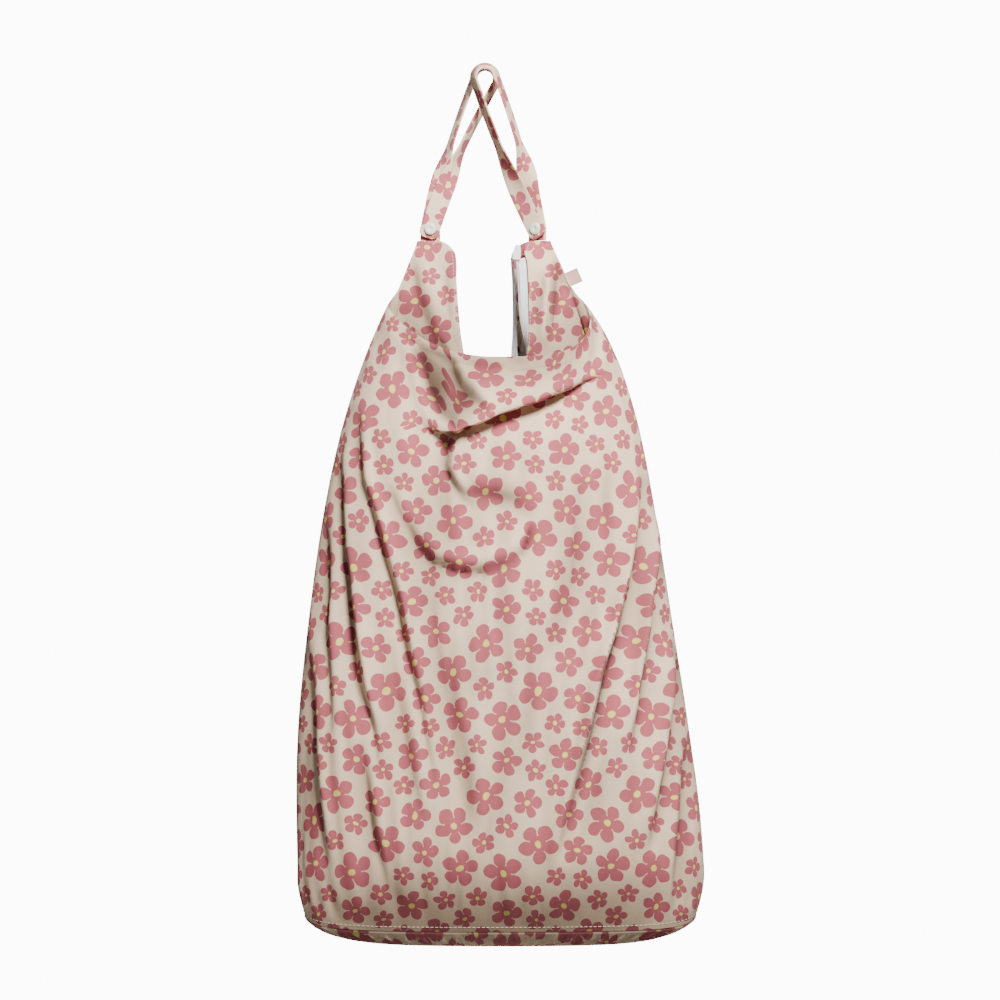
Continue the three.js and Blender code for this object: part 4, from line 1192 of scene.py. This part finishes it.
def strap_stations(made, span_steps=60, arc_steps=40):
    """A strap's centre line and frames, from its seam over the peg to its tail, as in the frame."""
    size = sizes()
    sign = made["side"]
    top = -size.strap_drop
    taper = math.radians(18)
    twist_start, twist_end = 0.22, 0.58
    on_peg = size.peg_radius + size.gap + size.strap_thickness / 2
    peg_y = -sign * (size.strap_width + size.strap_spacing) / 2
    seam_x = float(section(top, "lean")) * size.width + sign * (size.neck / 2 - size.strap_inset - size.strap_width / 2)
    turned = math.radians(made["snap_turn"])
    axis = Vector((sign * math.sin(turned), -math.cos(turned), 0.0))
    seam = Vector((seam_x, 0.0, top + size.gap))
    snap_base = Vector((seam_x, 0.0, top + size.snap_height))
    snap_front = snap_base + axis * (size.strap_thickness + size.snap_stack)

    def peg_point(angle):
        return Vector((math.cos(angle) * on_peg, peg_y, math.sin(angle) * on_peg))

    def touch_angle(place, own_side):
        opening = math.acos(on_peg / math.hypot(place.x, place.z))
        return math.atan2(place.z, place.x) + (sign if own_side else -sign) * opening

    start_angle = touch_angle(snap_base, True)
    end_angle = touch_angle(snap_front, False)
    while sign * (end_angle - start_angle) < 0:
        end_angle += sign * 2 * math.pi

    def strand_point(snap, touch, share, bow):
        point = snap.lerp(touch, share)
        point.x += bow * size.strap_width * math.sin(math.pi * share)
        square_y = snap.y - (axis.x / axis.y) * (point.x - snap.x)
        point.y = mix(square_y, touch.y, float(smooth(share / twist_end)))
        return point

    def twist_at(share):
        return float(smooth((share - twist_start) / (twist_end - twist_start)))

    stations = [(seam.lerp(snap_base, i / 6), 0.0) for i in range(6)]
    start, end = peg_point(start_angle), peg_point(end_angle)
    for i in range(span_steps):
        share = i / span_steps
        stations.append((strand_point(snap_base, start, share, made["outer_bow"]), twist_at(share)))
    for i in range(arc_steps + 1):
        stations.append((peg_point(mix(start_angle, end_angle, i / arc_steps)), 1.0))
    for i in range(span_steps - 1, -1, -1):
        share = i / span_steps
        stations.append((strand_point(snap_front, end, share, made["inner_bow"]), twist_at(share)))
    last = stations[-1][0]
    onward = (last - stations[-3][0]).normalized()
    onward = (onward - axis * onward.dot(axis)).normalized()
    tail_steps = 10
    for i in range(1, tail_steps + 1):
        stations.append((last + onward * size.strap_tail * i / tail_steps, 0.0))
    framed = []
    for i, (point, twist) in enumerate(stations):
        ahead = stations[min(i + 1, len(stations) - 1)][0]
        behind = stations[max(i - 1, 0)][0]
        along = (ahead - behind).normalized()
        square = axis.cross(along).normalized()
        on_edge = Vector((0.0, -sign, 0.0))
        on_edge = (on_edge - along * on_edge.dot(along)).normalized()
        angle = math.atan2(square.cross(on_edge).dot(along), square.dot(on_edge))
        angle -= math.copysign(taper, angle)
        across = Quaternion(along, angle * twist) @ square
        framed.append((point, across, along.cross(across).normalized(), along))
    return framed, snap_base, snap_front, axis


def strap_section(width, thickness):
    """Half way round a strap's section with rolled edges: (across, out) pairs, closed."""
    half, lift = width / 2, thickness / 2
    face = [-0.86, -0.6, -0.3, 0.0, 0.3, 0.6, 0.86]
    pairs = [(half * a, -lift) for a in face]
    pairs += [(half * 0.97, -lift * 0.75), (half, 0.0), (half * 0.97, lift * 0.75)]
    pairs += [(half * a, lift) for a in reversed(face)]
    pairs += [(-half * 0.97, lift * 0.75), (-half, 0.0), (-half * 0.97, -lift * 0.75)]
    return pairs


class WETBAG_OT_straps(bpy.types.Operator):
    """The two straps with their snaps"""

    bl_idname = "wetbag.straps"
    bl_label = "Straps and Snaps"

    def execute(self, context):
        size = sizes()
        for made in STRAPS:
            framed, snap_base, snap_front, axis = strap_stations(made)
            pairs = strap_section(size.strap_width, size.strap_thickness * 0.92)
            points, uv, run = [], [], 0.0
            tail = 11
            for i, (point, across, normal, along) in enumerate(framed):
                run += (point - framed[max(i - 1, 0)][0]).length
                from_end = len(framed) - 1 - i
                round_off = 1.0 if from_end >= tail else math.sqrt(max(0.0, 1 - (1 - (from_end + 0.6) / tail) ** 4))
                cup = 0.0009 * math.sin(run / 0.031 + made["side"])
                for a, n in pairs:
                    bend = cup * (1 - (2 * a / size.strap_width) ** 2)
                    points.append(point + across * a * round_off + normal * (n + bend))
                    uv.append((a + 0.11 * made["side"], run))
            count = len(pairs)
            faces = []
            for i in range(len(framed) - 1):
                for k in range(count):
                    a, b = i * count + k, i * count + (k + 1) % count
                    faces.append((a, b, b + count, a + count))
            faces.append(tuple(range(count))[::-1])
            faces.append(tuple(range((len(framed) - 1) * count, len(framed) * count)))
            piece = mesh_object(f"strap_{made['name']}_cloth", points, faces, uv)
            dress(piece, "print_cloth", print_cloth())
            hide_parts(f"strap_{made['name']}")
            make_snap(made["name"], snap_base, axis)
        return {"FINISHED"}


def lathe(name, profile, steps=48):
    """A turned piece about Z from (radius, height) pairs that start and end on the axis."""
    points, faces, rings = [], [], []
    for radius, height in profile:
        if radius < 1e-7:
            rings.append([len(points)])
            points.append((0.0, 0.0, height))
        else:
            rings.append(list(range(len(points), len(points) + steps)))
            points += [
                (radius * math.cos(2 * math.pi * k / steps), radius * math.sin(2 * math.pi * k / steps), height)
                for k in range(steps)
            ]
    for low, high in zip(rings, rings[1:]):
        for k in range(steps):
            n = (k + 1) % steps
            if len(low) == 1:
                faces.append((low[0], high[n], high[k]))
            elif len(high) == 1:
                faces.append((low[k], low[n], high[0]))
            else:
                faces.append((low[k], low[n], high[n], high[k]))
    return points, faces


def make_snap(name, base, axis):
    size = sizes()
    pitch = size.strap_thickness + size.snap_stack
    face = size.strap_thickness / 2 + size.gap * 0.5
    r, t = size.snap_diameter / 2, size.cap_thickness
    cap = [
        (0, 0.62), (0.2, 0.64), (0.3, 0.86), (0.42, 0.97), (0.6, 1.0),
        (0.8, 0.9), (0.93, 0.66), (0.99, 0.36), (1.0, 0.15), (0.97, 0.0),
    ]
    back = [(q * r, -face - h * t) for q, h in cap]
    front = [(q * r, pitch + face + h * t) for q, h in reversed(cap)]
    post = [
        (0.002, -face), (0.002, face), (0.004, face),
        (0.004, pitch - face), (0.002, pitch - face), (0.002, pitch + face),
    ]
    points, faces = lathe("snap", back + post + front)
    piece = mesh_object(f"snap_{name}_moulded", points, faces, smooth_angle=40)
    turn = Vector((0, 0, 1)).rotation_difference(axis).to_matrix().to_4x4()
    piece.data.transform(Matrix.Translation(base) @ turn)
    dress(piece, "snap_plastic", moulded_material("Snap Plastic", tuple(looks().snap), 0.38))
    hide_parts(f"snap_{name}")


def rim_frames(side):
    """Points along the zipped stretch of a rim, with the way beyond it and the strip's normal."""
    size = sizes()
    grid, normals = panel_surface(side)[:2]
    across = np.linspace(-1, 1, grid.shape[1])
    keep = [c for c in range(1, len(across) - 1) if abs(across[c]) <= 0.74]
    frames = []
    for c in keep:
        along = Vector(grid[0, c + 1] - grid[0, c - 1]).normalized()
        normal = Vector(normals[0, c])
        normal = (normal - along * normal.dot(along)).normalized()
        beyond = normal.cross(along) * -side
        shows = 0.88 * float(smooth((across[c] + 0.05) / 0.6)) if side == FRONT else 0.0
        turn = Quaternion(along, side * (1 - shows) * math.radians(102))
        root = Vector(grid[0, c]) - Vector(normals[0, c]) * size.cloth / 2
        frames.append((root, turn @ beyond, turn @ normal, along))
    return frames


class WETBAG_OT_zip(bpy.types.Operator):
    """The open zip round the mouth: tapes, coils and slider"""

    bl_idname = "wetbag.zip"
    bl_label = "Zip"

    def execute(self, context):
        size = sizes()
        near = size.cloth / 2 + size.gap
        for where, side in (("front", FRONT), ("back", BACK)):
            frames = rim_frames(side)
            rows = []
            reaches = np.linspace(near + size.tape_width, near, 5)
            for lift in (0.0005, -0.0005):
                rows.append(
                    np.array(
                        [[root + beyond * reach + normal * lift for root, beyond, normal, _ in frames] for reach in reaches]
                    )
                )
            points, faces, _ = sheet_between(rows[0], rows[1], side)
            run = np.concatenate([[0.0], np.cumsum([(b[0] - a[0]).length for a, b in zip(frames, frames[1:])])])
            uv = np.stack(np.meshgrid(run, reaches), axis=-1).reshape(-1, 2)
            tape = mesh_object(f"tape_{where}", points, faces, np.concatenate([uv, uv]))
            dress(tape, "zip_tape", woven_material("Zip Tape", tuple(looks().tape), 0.0011))
            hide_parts(f"zip_tape_{where}")
            self.coil(where, side, frames, run, near + size.tape_width + 1.6 * size.gap)
        self.slider(near + size.tape_width + 1.6 * size.gap)
        return {"FINISHED"}

    def coil(self, where, side, frames, run, start):
        """The coil: one flattened turn after another along the tape's edge."""
        size = sizes()
        pitch, wire = 0.00155, 0.00042
        turns = int(run[-1] / pitch)
        steps, ring = 8, 6
        path = []
        for k in range(turns * steps + 1):
            place = (k / steps + 0.5) * pitch * (run[-1] - pitch) / (turns * pitch)
            i = min(int(np.searchsorted(run, place, side="right")) - 1, len(frames) - 2)
            t = (place - run[i]) / (run[i + 1] - run[i])
            root, beyond, normal = (frames[i][n].lerp(frames[i + 1][n], t) for n in range(3))
            angle = 2 * math.pi * k / steps
            reach = start + size.coil_width / 2 + (size.coil_width / 2 - wire) * math.cos(angle)
            path.append(root + beyond * reach + normal * (0.001 - wire) * math.sin(angle))
        points, faces = [], []
        for k, point in enumerate(path):
            along = (path[min(k + 1, len(path) - 1)] - path[max(k - 1, 0)]).normalized()
            side_way = along.orthogonal().normalized() if k == 0 else (
                side_way - along * side_way.dot(along)
            ).normalized()
            other = along.cross(side_way)
            for n in range(ring):
                a = 2 * math.pi * n / ring
                points.append(point + (side_way * math.cos(a) + other * math.sin(a)) * wire)
        for k in range(len(path) - 1):
            for n in range(ring):
                a, b = k * ring + n, k * ring + (n + 1) % ring
                faces.append((a, b, b + ring, a + ring))
        faces.append(tuple(range(ring))[::-1])
        faces.append(tuple(range((len(path) - 1) * ring, len(path) * ring)))
        coil = mesh_object(f"coil_{where}", points, faces, smooth_angle=80)
        dress(coil, "zip_coil", moulded_material("Zip Coil", tuple(looks().tape), 0.42))
        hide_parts(f"zip_coil_{where}")

    def slider(self, start):
        """The slider at the right end: two waisted plates joined by a wedge."""
        size = sizes()
        root, beyond, _, along = rim_frames(FRONT)[-1]
        length, width, plate, opening = 0.015, 0.0085, 0.0014, 0.002
        outline = [(-0.5, -0.36), (-0.42, -0.46), (-0.2, -0.5), (0.1, -0.44), (0.38, -0.34), (0.5, -0.2)]
        outline += [(a, -b) for a, b in reversed(outline)]
        points, faces = [], []

        def prism(low, high, scale):
            first = len(points)
            for lift in (low, high):
                points.extend(Vector((b * width * scale, lift, a * length * scale)) for a, b in outline)
            n = len(outline)
            faces.append(tuple(range(first, first + n)))
            faces.append(tuple(range(first + n, first + 2 * n))[::-1])
            for k in range(n):
                m = (k + 1) % n
                faces.append((first + m, first + k, first + n + k, first + n + m))

        prism(-opening / 2 - plate, -opening / 2, 1.0)
        prism(opening / 2, opening / 2 + plate, 1.0)
        prism(-opening / 2, opening / 2, 0.45)
        slider = mesh_object("slider", points, faces, smooth_angle=30)
        bevel = slider.modifiers.new("Bevel", "BEVEL")
        bevel.width = 0.0004
        bevel.segments = 3
        up = Vector((0.12, 0.0, 1.0)).normalized()
        facing = Vector((0.0, -1.0, 0.0))
        frame_turn = Matrix((up.cross(facing), facing, up)).transposed().to_4x4()
        centre = root + beyond * (start + size.coil_width / 2) + along * size.gap + up * length / 2
        slider.data.transform(Matrix.Translation(centre) @ frame_turn)
        dress(slider, "zip_coil", moulded_material("Zip Coil", tuple(looks().tape), 0.42))
        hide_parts("zip_slider")


class WETBAG_OT_label(bpy.types.Operator):
    """The folded label in the right side seam, bare"""

    bl_idname = "wetbag.label"
    bl_label = "Label"

    def execute(self, context):
        size = sizes()
        one = np.array([1.0])
        top_z = -size.strap_drop - size.label_drop + size.label_width / 2
        top = Vector(shell_point(one, np.array([top_z]), FRONT)[0])
        foot = Vector(shell_point(one, np.array([top_z - size.label_width]), FRONT)[0])
        way = (foot - top)
        way.y = 0.0
        way.normalize()
        out = Vector((-way.z, 0.0, way.x))
        shares = np.linspace(0, 1, 13)
        layers = []
        for sign in (-1, 1):
            rows = []
            for share in shares:
                row = []
                for reach in shares:
                    point = top + way * share * size.label_width + out * (size.gap + reach * size.label_reach)
                    puff = 0.0007 * math.sqrt(max(0.0, 1 - reach**6))
                    point.y = sign * puff - 0.002 * reach**2 + 0.0006 * math.sin(share * 4.0 + reach)
                    row.append(point)
                rows.append(row)
            layers.append(np.array(rows))
        points, faces, _ = sheet_between(layers[0], layers[1], FRONT)
        uv = np.stack(np.meshgrid(shares * size.label_reach, shares * size.label_width), axis=-1).reshape(-1, 2)
        label = mesh_object("label_fold", points, faces, np.concatenate([uv, uv]))
        dress(label, "label_cloth", woven_material("Label Cloth", tuple(looks().label), 0.0008))
        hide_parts("side_label")
        return {"FINISHED"}


def stitches(name, path, normals, length=0.0034, pitch=0.0046, radius=0.00038):
    """A row of stitches lying on the cloth along a path of points."""
    run = np.concatenate([[0.0], np.cumsum(np.linalg.norm(np.diff(path, axis=0), axis=1))])
    count = int(run[-1] / pitch)
    points, faces = [], []
    ring = 6
    for k in range(count):
        ends = [(k + 0.5) * pitch - length / 2, (k + 0.5) * pitch + length / 2]
        a, b = (Vector([np.interp(e, run, path[:, n]) for n in range(3)]) for e in ends)
        up = Vector([np.interp(ends[0], run, normals[:, n]) for n in range(3)]).normalized()
        along = (b - a).normalized()
        side_way = along.cross(up).normalized()
        first = len(points)
        for share, swell, rise in (
            (0.0, 0.35, -0.6), (0.12, 0.85, 0.1), (0.5, 1.0, 0.45), (0.88, 0.85, 0.1), (1.0, 0.35, -0.6)
        ):
            centre = a.lerp(b, share) + up * radius * rise
            for n in range(ring):
                angle = 2 * math.pi * n / ring
                points.append(centre + (side_way * math.cos(angle) + up * math.sin(angle) * 0.7) * radius * swell)
        for i in range(4):
            for n in range(ring):
                p, q = first + i * ring + n, first + i * ring + (n + 1) % ring
                faces.append((p, q, q + ring, p + ring))
        faces.append(tuple(range(first, first + ring))[::-1])
        faces.append(tuple(range(first + 4 * ring, first + 5 * ring)))
    uv = [(p[0], p[2]) for p in points]
    piece = mesh_object(name, points, faces, uv, smooth_angle=80)
    dress(piece, "print_cloth", woven_material("Thread", tuple(looks().thread), 0.0005))
    return piece


class WETBAG_OT_stitching(bpy.types.Operator):
    """Stitch lines along the base seam and round the mouth"""

    bl_idname = "wetbag.stitching"
    bl_label = "Stitching"

    def execute(self, context):
        for name, side in (("front", FRONT), ("back", BACK)):
            grid, normals = panel_surface(side)[:2]
            step = np.linalg.norm(grid[-1] - grid[-2], axis=-1).mean()
            row = grid.shape[0] - 1 - max(1, round(0.003 / step))
            stitches(f"hem_stitch_{name}", grid[row, 2:-2], normals[row, 2:-2])
            rim = max(1, round(0.003 / step))
            stitches(
                f"rim_stitch_{name}", grid[rim, 8:-8], normals[rim, 8:-8], length=0.0026, pitch=0.0036, radius=0.0003
            )
        return {"FINISHED"}


class WETBAG_OT_stage(bpy.types.Operator):
    """Floor, light and camera"""

    bl_idname = "wetbag.stage"
    bl_label = "Stage"

    def execute(self, context):
        stage = context.scene.bag_stage
        centre = Vector((0.015, -0.03, -0.425))
        camera = bpy.data.objects.new("camera", bpy.data.cameras.new("camera"))
        camera.data.sensor_width = 36.0
        camera.data.lens = 36.0 * stage.camera_distance / stage.view_width
        camera.data.clip_end = 50.0
        camera.location = centre + Vector((0.0, -stage.camera_distance, 0.0))
        camera.rotation_euler = (math.pi / 2, 0.0, 0.0)
        context.scene.collection.objects.link(camera)
        context.scene.camera = camera
        self.light("key", (0.42, -1.35, 0.8), centre + Vector((0.0, 0.0, 0.05)), 0.45, stage.key)
        self.light("fill", (-1.5, -2.2, 0.6), centre, 1.2, stage.fill)
        self.light("rear", (-0.3, 1.7, 1.0), centre, 0.9, stage.rear)
        self.floor()
        self.surroundings(context.scene, stage.ambient)
        return {"FINISHED"}

    def floor(self):
        points = [(-6.0, -6.0, -2.2), (6.0, -6.0, -2.2), (6.0, 4.4, -2.2), (-6.0, 4.4, -2.2)]
        sheet = mesh_object("floor", points, [(0, 1, 2, 3)])
        material, tree, shader = new_material("Floor", (0.9, 0.9, 0.89), 0.7)
        where = add_node(tree, "ShaderNodeTexCoord").outputs["Object"]
        specks = add_node(tree, "ShaderNodeTexNoise", {"Vector": where, "Scale": 60.0, "Detail": 4.0}).outputs["Fac"]
        bump(tree, shader, specks, 0.001, 0.2)
        sheet.data.materials.append(material)

    def surroundings(self, scene, ambient):
        """White behind the bag, and only a little light from all round."""
        world = bpy.data.worlds.new("studio")
        world.use_nodes = True
        tree = world.node_tree
        soft = tree.nodes["Background"]
        soft.inputs["Color"].default_value = (1.0, 0.97, 0.93, 1.0)
        soft.inputs["Strength"].default_value = ambient
        white = add_node(tree, "ShaderNodeBackground", {"Color": (1.0, 1.0, 1.0, 1.0), "Strength": 12.0}).outputs[0]
        seen = add_node(tree, "ShaderNodeLightPath").outputs["Is Camera Ray"]
        both = add_node(tree, "ShaderNodeMixShader", {0: seen, 1: soft.outputs[0], 2: white}).outputs[0]
        tree.links.new(both, tree.nodes["World Output"].inputs["Surface"])
        scene.world = world

    def light(self, name, place, target, size, power):
        lamp = bpy.data.lights.new(name, "AREA")
        lamp.size = size
        lamp.energy = power
        made = bpy.data.objects.new(name, lamp)
        made.location = place
        made.rotation_euler = (target - Vector(place)).to_track_quat("-Z", "Y").to_euler()
        bpy.context.scene.collection.objects.link(made)


class WETBAG_PT_sidebar(bpy.types.Panel):
    """Lists the bag's steps and sizes"""

    bl_label = "Wet Bag"
    bl_idname = "WETBAG_PT_sidebar"
    bl_space_type = "VIEW_3D"
    bl_region_type = "UI"
    bl_category = "Wet Bag"

    def draw(self, context):
        for operator in STEPS:
            self.layout.operator(operator.bl_idname)
        for group in ("bag_sizes", "bag_print", "bag_stage"):
            box = self.layout.box()
            owner = getattr(context.scene, group)
            for key in owner.bl_rna.properties.keys():
                if key not in {"rna_type", "name"}:
                    box.prop(owner, key)


STEPS = [
    WETBAG_OT_stage,
    WETBAG_OT_front,
    WETBAG_OT_back,
    WETBAG_OT_base,
    WETBAG_OT_straps,
    WETBAG_OT_zip,
    WETBAG_OT_label,
    WETBAG_OT_stitching,
]
CLASSES = [BagSizes, PrintLook, StageLook, *STEPS, WETBAG_PT_sidebar]
GROUPS = {"bag_sizes": BagSizes, "bag_print": PrintLook, "bag_stage": StageLook}


def register():
    for made in CLASSES:
        bpy.utils.register_class(made)
    for key, group in GROUPS.items():
        setattr(bpy.types.Scene, key, PointerProperty(type=group))


def unregister():
    for key in GROUPS:
        delattr(bpy.types.Scene, key)
    for made in reversed(CLASSES):
        bpy.utils.unregister_class(made)


def main():
    register()
    for step in STEPS:
        family, call = step.bl_idname.split(".")
        getattr(getattr(bpy.ops, family), call)()


if __name__ == "__main__":
    main()
